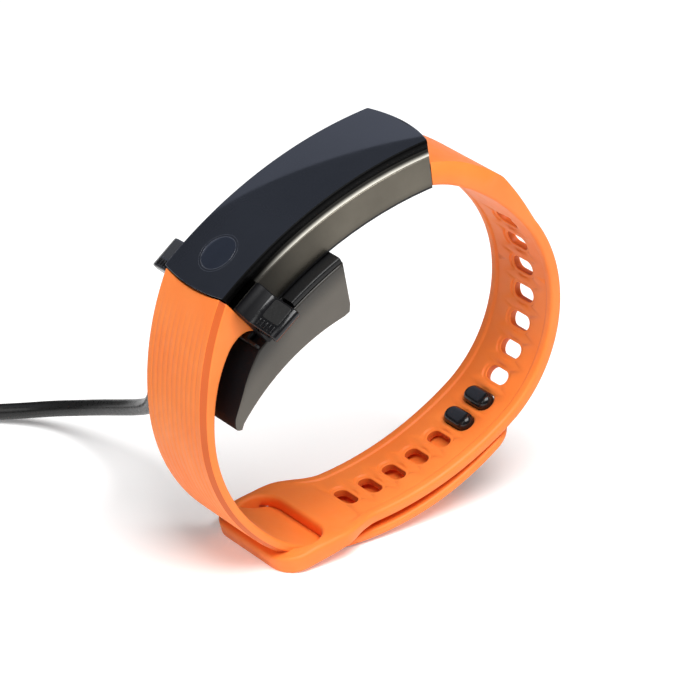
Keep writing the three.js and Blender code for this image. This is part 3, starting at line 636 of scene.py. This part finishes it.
def arc_path(start, heading, arcs):
    """A path in the X-Z plane made of arcs, each (length, turn). Gives the point and the left normal."""
    def at(distance):
        point = Vector(start)
        angle = math.radians(heading)
        left = distance
        for index, (length, turn) in enumerate(arcs):
            run = left if index == len(arcs) - 1 else min(left, length)
            half = math.radians(turn) * run / length / 2
            chord = run if half == 0 else run * math.sin(half) / half
            point += unit(angle + half) * chord
            angle += 2 * half
            left -= run
        return point, Vector((-math.sin(angle), math.cos(angle)))
    return at


STRAP_A_ARCS = [(24.3, 30.6), (25.9, 48.4), (9.2, 26.8), (15.1, 17.6), (27, 32.4)]
STRAP_B_ARCS = [(6, -17.5), (16, -24.5), (26, -65.5), (10.5, -29), (30.5, -33), (15.3, 14)]
STRAP_A_LENGTH = sum(length for length, _ in STRAP_A_ARCS)
STRAP_B_LENGTH = sum(length for length, _ in STRAP_B_ARCS) + 0.9
STRAP_A_PATH = arc_path((-30.1, RING_HEIGHT + 16.3), -114.1, STRAP_A_ARCS)
STRAP_B_PATH = arc_path((9.3, RING_HEIGHT + 25.4), -8.5, STRAP_B_ARCS)
SEAM_STRETCH = 8                         # of each strap, takes up the bow of the tracker's end


def end_angle(end, y, grow=0.0):
    """The angle about the arc's centre of the tracker's right (0) or left (1) end, at this y."""
    bow = END_BULGES[end] * (1 - (y / HALF_WIDTH) ** 2) + grow
    turn = math.degrees(bow / GLASS_RADIUS)
    return TRACKER_ANGLES[end] + (turn if end else -turn)


def seam_start(path, end, y, offset):
    """How far along a strap's path the tracker's end meets it, at this y and depth."""
    goal = end_angle(end, y, GAP / 2)
    sign = 1 if end else -1
    low, high = -4.0, 7.0
    for _ in range(22):
        middle = (low + high) / 2
        point, normal = path(middle)
        place = point + normal * offset - ARC_CENTRE
        angle = math.degrees(math.atan2(place.y, place.x))
        if (angle - goal) * sign < 0:
            low = middle
        else:
            high = middle
    return low


def strap_point(path, end, distance, y, offset):
    """A point of a strap: along it, across it, and this far from its path's face."""
    if distance < SEAM_STRETCH:
        start = seam_start(path, end, y, offset)
        distance = start + (SEAM_STRETCH - start) * distance / SEAM_STRETCH
    point, normal = path(distance)
    return lift(point + normal * offset, y)


FACE_COLUMNS = 92                        # of points across strap A's outer face
# The columns of strap A's bevel band, which get painted shade.
PAINTED_SHADE_COLUMNS = (FACE_COLUMNS + 2, FACE_COLUMNS + 3)


def make_strap_a():
    """The ribbed strap and its tail, in one piece."""
    tip_radius = 5.0
    rib_count, rib_depth = 10, 0.12
    grooves = [(index - (rib_count - 1) / 2) * RIB_PITCH for index in range(rib_count)]
    tip_start = STRAP_A_LENGTH - 6

    def thickness(distance):
        tip = smooth(distance, tip_start, STRAP_A_LENGTH + 1)
        return STRAP + 6 * math.exp(-max(distance, 0) / 8.5) - 0.7 * tip

    def half_width(distance):
        past = max(distance - (STRAP_A_LENGTH - tip_radius), 0)
        return HALF_WIDTH - tip_radius + math.sqrt(max(tip_radius ** 2 - past ** 2, 0))

    def section(distance, squeeze):
        """The strap's outline across, as (y, depth from the outer face) pairs."""
        deep, wide = thickness(distance), half_width(distance)
        ribs = rib_depth * smooth(distance, 1, 12) * smooth(STRAP_A_LENGTH - distance, 3, 7)
        bevel_in = 1.05
        bevel_down = min(1.0, 0.36 * deep)
        face = even(-(wide - bevel_in), wide - bevel_in, FACE_COLUMNS)
        outer = []
        for y in face:
            groove = sum(math.exp(-((y - place) / RIB_GROOVE) ** 2) for place in grooves)
            outer.append((y, ribs * min(groove, 1) + 0.05 * smooth(abs(y), 5, 8)))
        soft = min(0.55, 0.3 * deep)
        side = [
            (wide - bevel_in * 0.94, bevel_down * 0.03), (wide - bevel_in * 0.88, bevel_down * 0.1),
            (wide - bevel_in * 0.5, bevel_down * 0.5), (wide - bevel_in * 0.1, bevel_down * 0.9),
            (wide - bevel_in * 0.02, bevel_down * 1.05),
        ]
        side += [(wide, height) for height in even(bevel_down * 1.25, deep - soft, 6)]
        side += [(wide - fillet(soft * share, soft), deep - soft + soft * (1 - share))
                 for share in (0.75, 0.5, 0.25, 0.08)]
        side += [(wide - soft, deep)]
        inner = [(wide * share, deep) for share in (0.8, 0.5, 0.2)]
        right = side + inner
        loop = outer + right + [(-y, depth) for y, depth in reversed(right)]
        middle = deep / 2
        return [(y * (1 - squeeze / wide), middle + (depth - middle) * (1 - 2 * squeeze / deep))
                for y, depth in loop]

    stations = [(0, 0.25), (0.04, 0.1), (0.14, 0.02), (0.3, 0), (0.6, 0)]
    stations += [(distance, 0) for distance in even(1, 8, 14)]
    stations += [(distance, 0) for distance in even(8.5, STRAP_A_LENGTH - 6, 110)]
    stations += [(STRAP_A_LENGTH - left, 0) for left in (5.5, 5, 4.5, 4, 3.4, 2.8, 2.2, 1.7, 1.2, 0.8, 0.5)]
    stations += [(STRAP_A_LENGTH - 0.25, 0.08), (STRAP_A_LENGTH - 0.08, 0.22), (STRAP_A_LENGTH, 0.42)]
    rings = [
        [strap_point(STRAP_A_PATH, 1, distance, y, depth) for y, depth in section(distance, squeeze)]
        for distance, squeeze in stations
    ]
    strap = loft("strap_ribbed", rings, RUBBER)
    # Painted shade: the bevel band takes the darker copy of the rubber.
    strap.data.materials.append(RUBBER_PAINTED_SHADE)
    around = len(rings[0])
    for face in range((len(rings) - 1) * around):
        column = face % around
        if min(column, around + FACE_COLUMNS - 1 - column) in PAINTED_SHADE_COLUMNS:
            strap.data.polygons[face].material_index = 1
    joint_start, _ = STRAP_A_PATH(TAIL_JOINT - 4)
    joint_end, _ = STRAP_A_PATH(TAIL_JOINT + 4)
    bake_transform(strap)
    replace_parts(strap, "strap_a", "strap_tail")


class Plate:
    """A flat sheet of four-sided faces in (distance, y), with holes, that becomes a strap."""

    def __init__(self):
        self.points = []
        self.found = {}
        self.faces = []

    def corner(self, distance, y):
        key = (round(distance, 4), round(y, 4))
        if key not in self.found:
            self.found[key] = len(self.points)
            self.points.append((distance, y))
        return self.found[key]

    def between(self, rows):
        """Fills the space between neighbouring rows of (distance, y) points."""
        for this, other in zip(rows, rows[1:]):
            for i in range(len(this) - 1):
                face = [self.corner(*p) for p in (this[i], this[i + 1], other[i + 1], other[i])]
                if len(set(face)) == 4:
                    self.faces.append(face)


# The clasp's loop, by distance along strap B and by y.
LOOP_HALF = 10.9
LOOP_CORNER = 4.4
SLOT_HALF = (3.85, 8.95)
SLOT_MIDDLE = STRAP_B_LENGTH - 6.55
FOOT_HEIGHT = 0.03                       # the loop rests on the floor, a little flattened
EDGE_ROWS = (2.05, 1.92, 1.8, 1.68, 1.55, 1.2, 0.8, 0.55, 0.38, 0.24, 0.13, 0.05, 0)
LOOP_EDGE_SHARE = 0.66                   # how much narrower those rows are in the loop's rails


def loop_flare(distance):
    return smooth(distance, STRAP_B_LENGTH - 20, STRAP_B_LENGTH - 11.5)


def edge_row(distance, row):
    """The y of one of the rows of points that run along strap B's edge."""
    return strap_b_half(distance) - EDGE_ROWS[row] * (1 - (1 - LOOP_EDGE_SHARE) * loop_flare(distance))


def strap_b_half(distance):
    """Half the width of strap B: it flares into the loop and ends in two round corners."""
    wide = HALF_WIDTH + (LOOP_HALF - HALF_WIDTH) * loop_flare(distance)
    past = max(distance - (STRAP_B_LENGTH - LOOP_CORNER), 0)
    return wide - LOOP_CORNER + math.sqrt(max(LOOP_CORNER ** 2 - past ** 2, 0))


def hole_size(index):
    """Half sizes along and across, of a plain hole or of one that a post fills."""
    return (1.64, 3.04) if index in POST_HOLES else (1.2, 2.5)


def hole_distance(distance, y):
    """How far a point of strap B is from the nearest hole's rim, and whether a post fills that hole."""
    index = min(max(round((distance - FIRST_HOLE) / HOLE_PITCH), 0), HOLE_COUNT - 1)
    half = hole_size(index)
    from_middle = distance - FIRST_HOLE - index * HOLE_PITCH
    reach = max(abs(y) - (half[1] - half[0]), 0)
    return math.hypot(from_middle, reach) - half[0], index in POST_HOLES


def slot_distance(distance, y):
    reach = max(abs(y) - (SLOT_HALF[1] - SLOT_HALF[0]), 0)
    return math.hypot(distance - SLOT_MIDDLE, reach) - SLOT_HALF[0]


def rim_point(share, half):
    """A point on a hole's rim beside a border point, this share of the way up the border's side."""
    straight = 0.7
    core = half[1] - half[0]
    if abs(share) <= straight:
        return half[0], core * share / straight
    turn = math.radians(45) * (abs(share) - straight) / (1 - straight)
    return half[0] * math.cos(turn), math.copysign(core + half[0] * math.sin(turn), share)


def add_holed_block(plate, start, end, middle, half, offsets, columns, rows):
    """A stretch of the plate between start and end, with a round-ended hole in its middle."""
    core = half[1] - half[0]

    def limit(distance):
        return edge_row(distance, 0)

    border = []
    rim = []
    for here, there, side in ((start, end, 1), (end, start, -1)):
        for step in range(columns + 1):
            distance = here + (there - here) * step / columns
            turn = math.radians(135 - 90 * step / columns)
            border.append((distance, side * limit(distance)))
            rim.append((middle + side * half[0] * math.cos(turn), side * (core + half[0] * math.sin(turn))))
        for share in even(side, -side, rows)[1:-1]:
            across, along = rim_point(share, half)
            border.append((there, limit(there) * share))
            rim.append((middle + side * across, along))
    border.append(border[0])
    rim.append(rim[0])
    rings = []
    for offset in offsets:
        ring = []
        for near, far in zip(rim, border):
            reach = Vector(far) - Vector(near)
            step = min(offset, 0.85 * reach.length * offset / offsets[-1])
            ring.append(tuple(Vector(near) + reach.normalized() * step))
        rings.append(ring)
    rings.append(border)
    plate.between(rings)


def strap_b_plate():
    """Strap B laid flat: plain stretches, a block for each hole, the loop's slot and the edges."""
    plate = Plate()
    block_start = FIRST_HOLE - HOLE_PITCH / 2
    block_end = block_start + HOLE_COUNT * HOLE_PITCH
    slot_start, slot_end = SLOT_MIDDLE - SLOT_HALF[0] - 1.6, STRAP_B_LENGTH - 0.9
    columns, rows = 8, 16
    plain = [0, 0.05, 0.15, 0.3, 0.6] + even(1, 8, 12) + even(8.7, block_start, 18)
    middle = even(block_end, slot_start, 10)
    tail = [slot_end, STRAP_B_LENGTH - 0.6, STRAP_B_LENGTH - 0.36, STRAP_B_LENGTH - 0.2,
            STRAP_B_LENGTH - 0.08, STRAP_B_LENGTH]
    blocks = even(block_start, block_end, columns * HOLE_COUNT)
    slot = even(slot_start, slot_end, 2 * columns)

    for stretch in (plain, middle, tail):
        plate.between([
            [(d, edge_row(d, 0) * share) for share in even(-1, 1, rows)] for d in stretch
        ])
    for index in range(HOLE_COUNT):
        start = blocks[index * columns]
        rings = (0, 0.05, 0.12, 0.22, 0.3, 0.4, 0.5) if index in POST_HOLES else (
            0, 0.06, 0.14, 0.3, 0.48, 0.56, 0.64, 0.72, 0.8, 0.9)
        add_holed_block(plate, start, blocks[(index + 1) * columns], start + HOLE_PITCH / 2,
                        hole_size(index), rings, columns, rows)
    add_holed_block(plate, slot_start, slot_end, SLOT_MIDDLE, SLOT_HALF,
                    (0, 0.06, 0.15, 0.28, 0.42, 0.56, 0.72), 2 * columns, rows)
    lengthwise = plain + blocks[1:] + middle[1:] + slot[1:] + tail[1:]
    for side in (-1, 1):
        plate.between([
            [(d, side * edge_row(d, row)) for d in lengthwise] for row in range(len(EDGE_ROWS))
        ])
    return plate


OVERLAP_START = 48                        # along strap A, where it comes back beside strap B
STRAP_GAP = 0.2
LEAST_DEPTH, MOST_DEPTH, DEPTH_STEP = 0.8, 4, 0.04
ROOM_STEP = 0.75
STRAP_A_MIDLINE = [
    point + normal * (STRAP / 2)
    for point, normal in map(STRAP_A_PATH, even(OVERLAP_START, STRAP_A_LENGTH, 110))
]


def room_outside(distance):
    """How deep strap B may be here before it meets strap A, which runs along its outside."""
    point, normal = STRAP_B_PATH(distance)
    depth = LEAST_DEPTH
    while depth < MOST_DEPTH:
        spot = point + normal * depth
        if min((spot - middle).length for middle in STRAP_A_MIDLINE) < STRAP / 2 + STRAP_GAP:
            break
        depth += DEPTH_STEP
    return depth


ROOM = [room_outside(index * ROOM_STEP) for index in range(int(STRAP_B_LENGTH / ROOM_STEP) + 2)]


def strap_b_faces(distance, y):
    """The depths of strap B's inner and outer faces at a point, both from its path."""
    swell = 5.5 * (1 - min(distance / 22.5, 1)) ** 1.2
    loop = smooth(distance, STRAP_B_LENGTH - 17, STRAP_B_LENGTH - 7)
    thick = STRAP + swell + 0.95 * loop
    edge = min(strap_b_half(distance) - abs(y), STRAP_B_LENGTH - distance)
    hole, holds_post = hole_distance(distance, y)
    slot = slot_distance(distance, y)

    inner = fillet(edge, 0.6)
    inner += 0.3 * (1 - loop) * smooth(distance, 15, 30) * smooth(edge, 1.5, 1.95)
    recess = (0.12, 0.5) if holds_post else (0.56, 0.8)
    inner += 0.28 * (1 - smooth(hole, *recess)) + fillet(hole, 0.14)
    inner += fillet(slot, 0.7) - 0.25 * loop * (1 - smooth(slot, 0.5, 2.2))
    inner -= 0.12 * loop * smooth(slot, 1.5, 3)

    outer = thick - fillet(edge, 0.55) - fillet(hole, 0.2) - fillet(slot, 0.5)
    ribs = smooth(distance, 8, 20) * smooth(STRAP_B_LENGTH - 20 - distance, 0, 10)
    if abs(y) < 6.5 and hole > 0.4:
        groove = abs((y / RIB_PITCH) % 1 - 0.5) * RIB_PITCH
        outer -= 0.1 * ribs * math.exp(-(groove / RIB_GROOVE) ** 2)
    if distance < SLOT_MIDDLE and abs(y) < HALF_WIDTH + 0.35:
        step = int(distance / ROOM_STEP)
        share = distance / ROOM_STEP - step
        outer = min(outer, ROOM[step] * (1 - share) + ROOM[step + 1] * share)
    return inner, outer


def make_strap_b():
    """The punched strap with its clasp loop, made flat and then bent along its path."""
    plate = strap_b_plate()
    count = len(plate.points)
    depths = [strap_b_faces(*point) for point in plate.points]
    points = []
    for side in (0, 1):
        for (distance, y), depth in zip(plate.points, depths):
            point = strap_point(STRAP_B_PATH, 0, distance, y, depth[side])
            point.z = max(point.z, FOOT_HEIGHT)
            points.append(point)
    faces = [tuple(face) for face in plate.faces]
    edges = {}
    for face in plate.faces:
        for here, there in zip(face, face[1:] + face[:1]):
            edges[frozenset((here, there))] = edges.get(frozenset((here, there)), 0) + 1
    faces += [tuple(count + corner for corner in reversed(face)) for face in plate.faces]
    for edge, uses in edges.items():
        if uses == 1:
            here, there = edge
            faces.append((here, there, count + there, count + here))
    strap = make_mesh("strap_punched", points, faces, RUBBER, "band")
    # Painted shade: the hole walls take the darker copy of the rubber.
    strap.data.materials.append(RUBBER_PAINTED_SHADE)
    for face in strap.data.polygons[2 * len(plate.faces):]:
        distance, y = plate.points[face.vertices[0] % count]
        if hole_distance(distance, y)[0] < 0.01:
            face.material_index = 1
    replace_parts(strap, "strap_b")


def post_frame(index):
    """Where a post crosses strap B, its direction outwards, and the direction along the strap."""
    place, _ = STRAP_B_PATH(FIRST_HOLE + index * HOLE_PITCH)
    _, outward = STRAP_B_PATH(FIRST_HOLE + (POST_HOLES[0] + 0.5) * HOLE_PITCH)
    return place, outward, Vector((outward.y, -outward.x))


def make_posts():
    """Two domed posts and the plate that carries them on the tail's outside."""
    for number, index in enumerate(POST_HOLES, 1):
        place, outward, along = post_frame(index)
        levels = [(0.0, 3.35), (0.0, 0.2), (0.02, 0), (0.08, -0.2), (0.2, -0.42), (0.36, -0.6), (0.58, -0.76),
                  (0.88, -0.86), (1.2, -POST_HEAD)]
        rings = []
        for inset, depth in levels:
            ring = []
            for point in stadium(3.2 - 2 * inset, 6 - 2 * inset):
                ring.append(lift(place + along * point.x + outward * depth, point.y))
            rings.append(ring)
        post = loft(f"clasp_post_{number}", rings, GLOSS_BLACK, "tail")
        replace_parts(post, f"pin_post_{number}")

    middle = STRAP_A_LENGTH - 6.4

    def place_on_tail(u, v, w):
        return strap_point(STRAP_A_PATH, 1, middle + u, v, w)

    cover = prism("clasp_plate", rounded_box(5, 4.5, 3, 7), -1.0, -0.1, place_on_tail, GLOSS_BLACK,
                  "tail", radius=0.4)
    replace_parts(cover, "pin_plate")


make_strap_a()
make_strap_b()
make_posts()

# ---- Tracker --------------------------------------------------------------------------------------


def tracker_skin(name, profile, material):
    """A closed section of (y, radius) points, swept round the arc between the tracker's bowed ends."""
    stations = 56
    rings = []
    for share in [0, 0.003, *even(0, 1, stations)[1:-1], 0.997, 1]:
        ring = []
        for y, radius in profile:
            right, left = end_angle(0, y), end_angle(1, y)
            ring.append(lift(polar(radius, right + (left - right) * share), y))
        rings.append(ring)
    return loft(name, rings, material, "band")


def make_tracker():
    lens_base = GLASS_RADIUS - 1.4
    side = HALF_WIDTH - 0.12
    edge = [(side, lens_base), (side, GLASS_RADIUS - 0.42), (side - 0.04, GLASS_RADIUS - 0.24),
            (side - 0.14, GLASS_RADIUS - 0.1), (side - 0.28, GLASS_RADIUS - 0.02),
            (side - 0.36, GLASS_RADIUS)]
    top = [(y, GLASS_RADIUS) for y in even(side - 0.42, -(side - 0.42), 16)]
    bottom = [(y, lens_base) for y in even(-side, side, 8)[1:-1]]
    lens = tracker_skin("cover_glass", edge + top + [(-y, r) for y, r in reversed(edge)] + bottom, GLASS)
    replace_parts(lens, "glass_lens")
    lens.data.materials.append(GLASS_EDGE)
    for face in lens.data.polygons:
        middle = face.center / MM
        radius = (Vector((middle.x, middle.z)) - ARC_CENTRE).length
        if radius < GLASS_RADIUS - 0.015:
            face.material_index = 1

    chamfer = [(HALF_WIDTH + 0.02, WALL_TOP + 0.1), (HALF_WIDTH + 0.02, WALL_TOP + 0.3),
               (HALF_WIDTH - 0.02, WALL_TOP + 0.6), (HALF_WIDTH - 0.1, WALL_TOP + 0.95),
               (side + 0.02, lens_base - 0.04), (side - 1.3, lens_base - 0.04), (side - 1.3, WALL_TOP + 0.1)]
    for number, sign in enumerate((-1, 1), 1):
        profile = [(sign * y, radius) for y, radius in chamfer]
        strip = tracker_skin(f"bright_chamfer_{number}", profile, BRIGHT_METAL)
        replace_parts(keep_flats(strip, 50), "bezel_trim")

    inside = HALF_WIDTH - 1
    corner = 0.5
    for number, sign in enumerate((-1, 1), 1):
        turns = even(0, math.pi / 2, 5)
        wide = HALF_WIDTH + 0.03
        lower = [(wide - corner + corner * math.cos(t), WALL_BOTTOM + corner - corner * math.sin(t))
                 for t in turns]
        outer = [(wide, radius) for radius in even(WALL_TOP - 0.12, WALL_BOTTOM + corner, 6)[:-1]]
        upper = [(inside, WALL_TOP), (wide - 0.12, WALL_TOP)]
        wall = upper + outer + lower + [(inside, WALL_BOTTOM)]
        piece = tracker_skin(f"side_wall_{number}", [(sign * y, r) for y, r in wall], GUNMETAL)
        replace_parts(keep_flats(piece, 40), "housing_frame")
    for end in (0, 1):
        rings = []
        for y in even(-inside + 0.1, inside - 0.1, 14):
            outer_angle = end_angle(end, y)
            inner_angle = outer_angle + (-0.8 if end else 0.8)
            ring = []
            for radius, angle in [(WALL_BOTTOM, outer_angle), (WALL_TOP - 0.05, outer_angle),
                                  (WALL_TOP - 0.05, inner_angle), (WALL_BOTTOM, inner_angle)]:
                ring.append(lift(polar(radius, angle), y))
            rings.append(ring)
        piece = keep_flats(loft(f"end_wall_{end + 1}", rings, GUNMETAL, "band"))
        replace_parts(piece, "housing_frame")

    def on_lens(radius, turn, rise):
        along, across = radius * math.cos(turn), radius * math.sin(turn)
        drop = GLASS_RADIUS - math.sqrt(GLASS_RADIUS ** 2 - along ** 2)
        return on_arc(TOUCH_ANGLE, along, across, GLASS_RADIUS - drop + rise)

    turns = even(0, 2 * math.pi, 96)[:-1]
    for name, radius, width in (("touch_ring_inner", TOUCH_RADIUS, 0.05), ("touch_ring_outer", 3.5, 0.03)):
        rings = [
            [on_lens(radius + reach, turn, rise)
             for reach, rise in [(-width, 0.002), (-width, 0.006), (width, 0.006), (width, 0.002)]]
            for turn in turns
        ]
        loft(name, rings, PRINT, "band", closed=True)
    levels = [(0.2, 0.004), (1.2, 0.004), (2.2, 0.004), (3.0, 0.004), (3.05, 0.001)]
    rings = [[on_lens(radius, turn, rise) for turn in turns] for radius, rise in levels]
    loft("touch_area", rings, TOUCH_TINT, "band")


make_tracker()

# ---- Cradle and latches ---------------------------------------------------------------------------


def make_cradle():
    lid_radius = CRADLE_TOP - CRADLE_LID
    first, last = CRADLE_ANGLES
    shell_top = [polar(lid_radius - 0.1, angle) for angle in even(first, last, 18)]
    ring = Vector((0, RING_HEIGHT))
    wrist_centre = ring + Vector((0.3, -24.5))
    wrist_radius = 34.9
    wrist = [wrist_centre + unit(math.radians(angle)) * wrist_radius for angle in even(144, 106, 16)]
    outline = (
        shell_top[:-1]
        + bend(shell_top[-1], ring + Vector((-27.4, 4.1)), ring + Vector((-28.1, 1.4)), 8)
        + bend(ring + Vector((-29.6, -2.8)), ring + Vector((-29.9, -5.3)), ring + Vector((-28.3, -5)), 6)
        + wrist
        + bend(ring + Vector((-8.3, 9.6)), ring + Vector((-8.2, 10.3)), ring + Vector((-8.2, 11)), 4)
    )

    def across(u, v, w):
        return Vector((u, w, v))

    shell = prism("cradle_body", outline, -CRADLE_HALF, CRADLE_HALF, across, CRADLE_GREY, "cradle",
                  radius=0.35, steps=5)
    # Painted shade: the faces that face -X, the end in strap A's shade, take the arms' black.
    shell.data.materials.append(ARM_BLACK)
    for face in shell.data.polygons:
        if face.normal.x < -0.55 and abs(face.normal.y) < 0.6:
            face.material_index = 1
    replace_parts(shell, "cradle_shell")

    notch_half = 4.1
    notch = math.degrees(notch_half / lid_radius)
    side = CRADLE_HALF - 0.12
    notched = 8.05
    stations = [first + 0.05, first + 0.15]
    stations += even(first + 0.6, LATCH_ANGLE - notch - 0.3, 24)
    stations += [LATCH_ANGLE - notch, LATCH_ANGLE - notch + 0.01]
    stations += even(LATCH_ANGLE - notch + 0.4, LATCH_ANGLE + notch - 0.4, 8)
    stations += [LATCH_ANGLE + notch - 0.01, LATCH_ANGLE + notch, last - 0.2]
    stations += [last - 0.05]
    rings = []
    for index, angle in enumerate(stations):
        wide = notched if abs(angle - LATCH_ANGLE) < notch - 0.005 else side
        end = 0.25 if index in (0, len(stations) - 1) else 0
        low, high = lid_radius + 0.05 + end, CRADLE_TOP - end
        half = [(wide - end, low + 0.1), (wide - end, high - 0.35), (wide - end - 0.06, high - 0.15),
                (wide - end - 0.2, high - 0.04), (wide - end - 0.4, high)]
        profile = half + [(-y, radius) for y, radius in reversed(half)]
        rings.append([lift(polar(radius, angle), y) for y, radius in profile])
    lid = keep_flats(loft("cradle_deck", rings, BLACK_PLASTIC, "cradle"), 50)
    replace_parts(lid, "cradle_lid")


def make_latches():
    """Two levers, each with a ridged thumb pad and a flat jaw that stands clear of the tracker's side."""
    section = [
        (9.1, 60.5), (10.3, 60.5), (10.7, 61.3), (10.85, 62.4), (11.2, 64.6), (11.6, 65.15), (15.8, 65.3),
        (16.5, 65.5), (16.8, 66.1), (16.6, 66.7), (15.9, 66.95), (11.9, 67.45), (11.2, 67.75), (10.5, 68.9),
        (10.1, 69.4), (9.4, 69.75), (8.85, 69.7), (8.6, 69.35), (8.6, 64.2), (8.75, 61.8), (8.7, 61.0),
    ]
    for name, sign in (("near", -1), ("far", 1)):
        outline = [Vector(corner) for corner in section]

        def place(u, v, w, sign=sign):
            return on_arc(LATCH_ANGLE, w, sign * u, v)

        lever = prism(f"{name}_latch_arm", outline, -LATCH_LENGTH / 2, LATCH_LENGTH / 2, place, ARM_BLACK,
                      f"{name}_latch_lever", radius=0.3, steps=4)
        lever.data.materials.append(GLOSS_BLACK)
        for face in lever.data.polygons:
            if abs(face.center.y) > 11.4 * MM:
                face.material_index = 1
        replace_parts(lever, f"{name}_latch")

        def on_pad(u, v, w, sign=sign):
            surface = 67.42 - (v - 11.9) * 0.125
            return on_arc(LATCH_ANGLE, u, sign * v, surface + w)

        patch = rounded_corners([(-0.9, 12.1), (2.5, 12.1), (2.5, 15.9), (-0.9, 15.9)], 0.5, 4)
        grip = prism(f"{name}_latch_grip", patch, -0.1, 0.06, on_pad, GRIP_BLACK, f"{name}_latch_lever",
                     radius=0.06, steps=2)
        for row in range(5):
            out = 12.4 + row * 0.8
            ridge = rounded_corners([
                (-2.4, out - 0.2), (-1.2, out - 0.2), (-1.2, out + 0.2), (-2.4, out + 0.2),
            ], 0.19, 3)
            piece = prism(f"{name}_latch_ridge_{row + 1}", ridge, -0.1, 0.22, on_pad, GLOSS_BLACK,
                          f"{name}_latch_lever", radius=0.1, steps=3)


make_cradle()
make_latches()

# ---- CAD nodes shown as they are ------------------------------------------------------------------

KEPT = [
    (BLACK_PLASTIC, "back_cover", "contact_block", "touch_pad"),
    (GLOSS_BLACK, "sensor_window"),
    (GOLD, "charge_contact_1", "charge_contact_2", "pogo_pin_1", "pogo_pin_2"),
    (STEEL, "pogo_barrel_1", "pogo_barrel_2", "motor_can", "motor_weight"),
    (BLACK_STEEL, "near_hinge_pin", "far_hinge_pin", "near_latch_spring", "far_latch_spring"),
    (DISPLAY, "display_module"),
    (BOARD_GREEN, "main_board", "cradle_board"),
    (CELL_SILVER, "battery"),
    (GREEN_DIODE, "green_led_1", "green_led_2"),
    (DARK_DIODE, "photodiode"),
    (GASKET, "lens_gasket"),
]
for material, *names in KEPT:
    for name in names:
        mesh = nodes[name].data
        mesh.materials.clear()
        mesh.materials.append(material)

# ---- Floor, lights and reflections ----------------------------------------------------------------


def make_floor():
    """A large pale floor."""
    points = [Vector((x, y, 0)) for x, y in ((-1500, -1500), (1500, -1500), (1500, 1500), (-1500, 1500))]
    made = Nodes("floor")
    made.join(made.tint(made.noise(40), (0.93, 0.93, 0.93), (0.95, 0.95, 0.95)),
              made.shader.inputs["Base Color"])
    made.settle(Roughness=0.7, Specular_IOR_Level=0.1, Emission_Color=(1, 1, 1, 1), Emission_Strength=0.22)
    floor = make_mesh("floor", points, [(0, 1, 2, 3)], made.material)


def make_softbox(name, aim, azimuth, elevation, distance, size, power):
    """A square area light. In degrees, an azimuth of 0 is in front, on -Y, and 90 is on +X."""
    data = bpy.data.lights.new(name, "AREA")
    data.shape = "RECTANGLE"
    data.size, data.size_y = size
    data.energy = power
    face_target(add_object(name, data), aim, math.radians(azimuth), math.radians(elevation), distance)


def make_reflector():
    """A pale card behind the object. The glass mirrors its curved top edge as two tones of black."""
    across = even(-CARD_HALF, CARD_HALF, CARD_STEPS)
    edge = [max(CARD_TOP - (x - CARD_PEAK) ** 2 / CARD_BEND, CARD_SIDE) for x in across]
    corners = [Vector((x, CARD_BEHIND, height)) for x, height in zip(across, edge)]
    corners += [Vector((x, CARD_BEHIND, CARD_FOOT)) for x in (CARD_HALF, -CARD_HALF)]
    material = bpy.data.materials.new("reflector")
    material.use_nodes = True
    tree = material.node_tree
    glow = tree.nodes.new("ShaderNodeEmission")
    glow.inputs["Strength"].default_value = REFLECTOR_GLOW
    glow.inputs["Color"].default_value = (0.9, 0.98, 1.25, 1)
    tree.links.new(glow.outputs[0], tree.nodes["Material Output"].inputs["Surface"])
    card = make_mesh("reflector", corners, [tuple(range(len(corners)))], material)
    card.visible_camera = False
    card.visible_diffuse = False
    card.visible_shadow = False


def make_world():
    """Even studio light from every side."""
    world = bpy.data.worlds.new("studio")
    bpy.context.scene.world = world
    world.use_nodes = True
    world.node_tree.nodes["Background"].inputs["Strength"].default_value = WORLD_GLOW


REFLECTOR_GLOW = 0.5
CARD_BEHIND = 100                        # how far along Y the reflector stands
CARD_HALF = 140                          # of its width
CARD_TOP = 146                           # height of its curved edge
CARD_PEAK = 25                           # where along X that edge is highest
CARD_BEND = 275                          # the edge falls by the square of the distance over this
CARD_SIDE = 75                           # height of the edge at its lowest
CARD_FOOT = 60
CARD_STEPS = 57
WORLD_GLOW = 0.6
make_floor()
make_reflector()
make_world()
aim = Vector((-5, 0, 30)) * MM
make_softbox("key", aim, -8, 67, 0.9, (0.7, 0.7), 12.5)
make_softbox("fill", aim, -80, 35, 1.0, (0.6, 0.6), 2)
bpy.context.scene.view_settings.view_transform = "Standard"
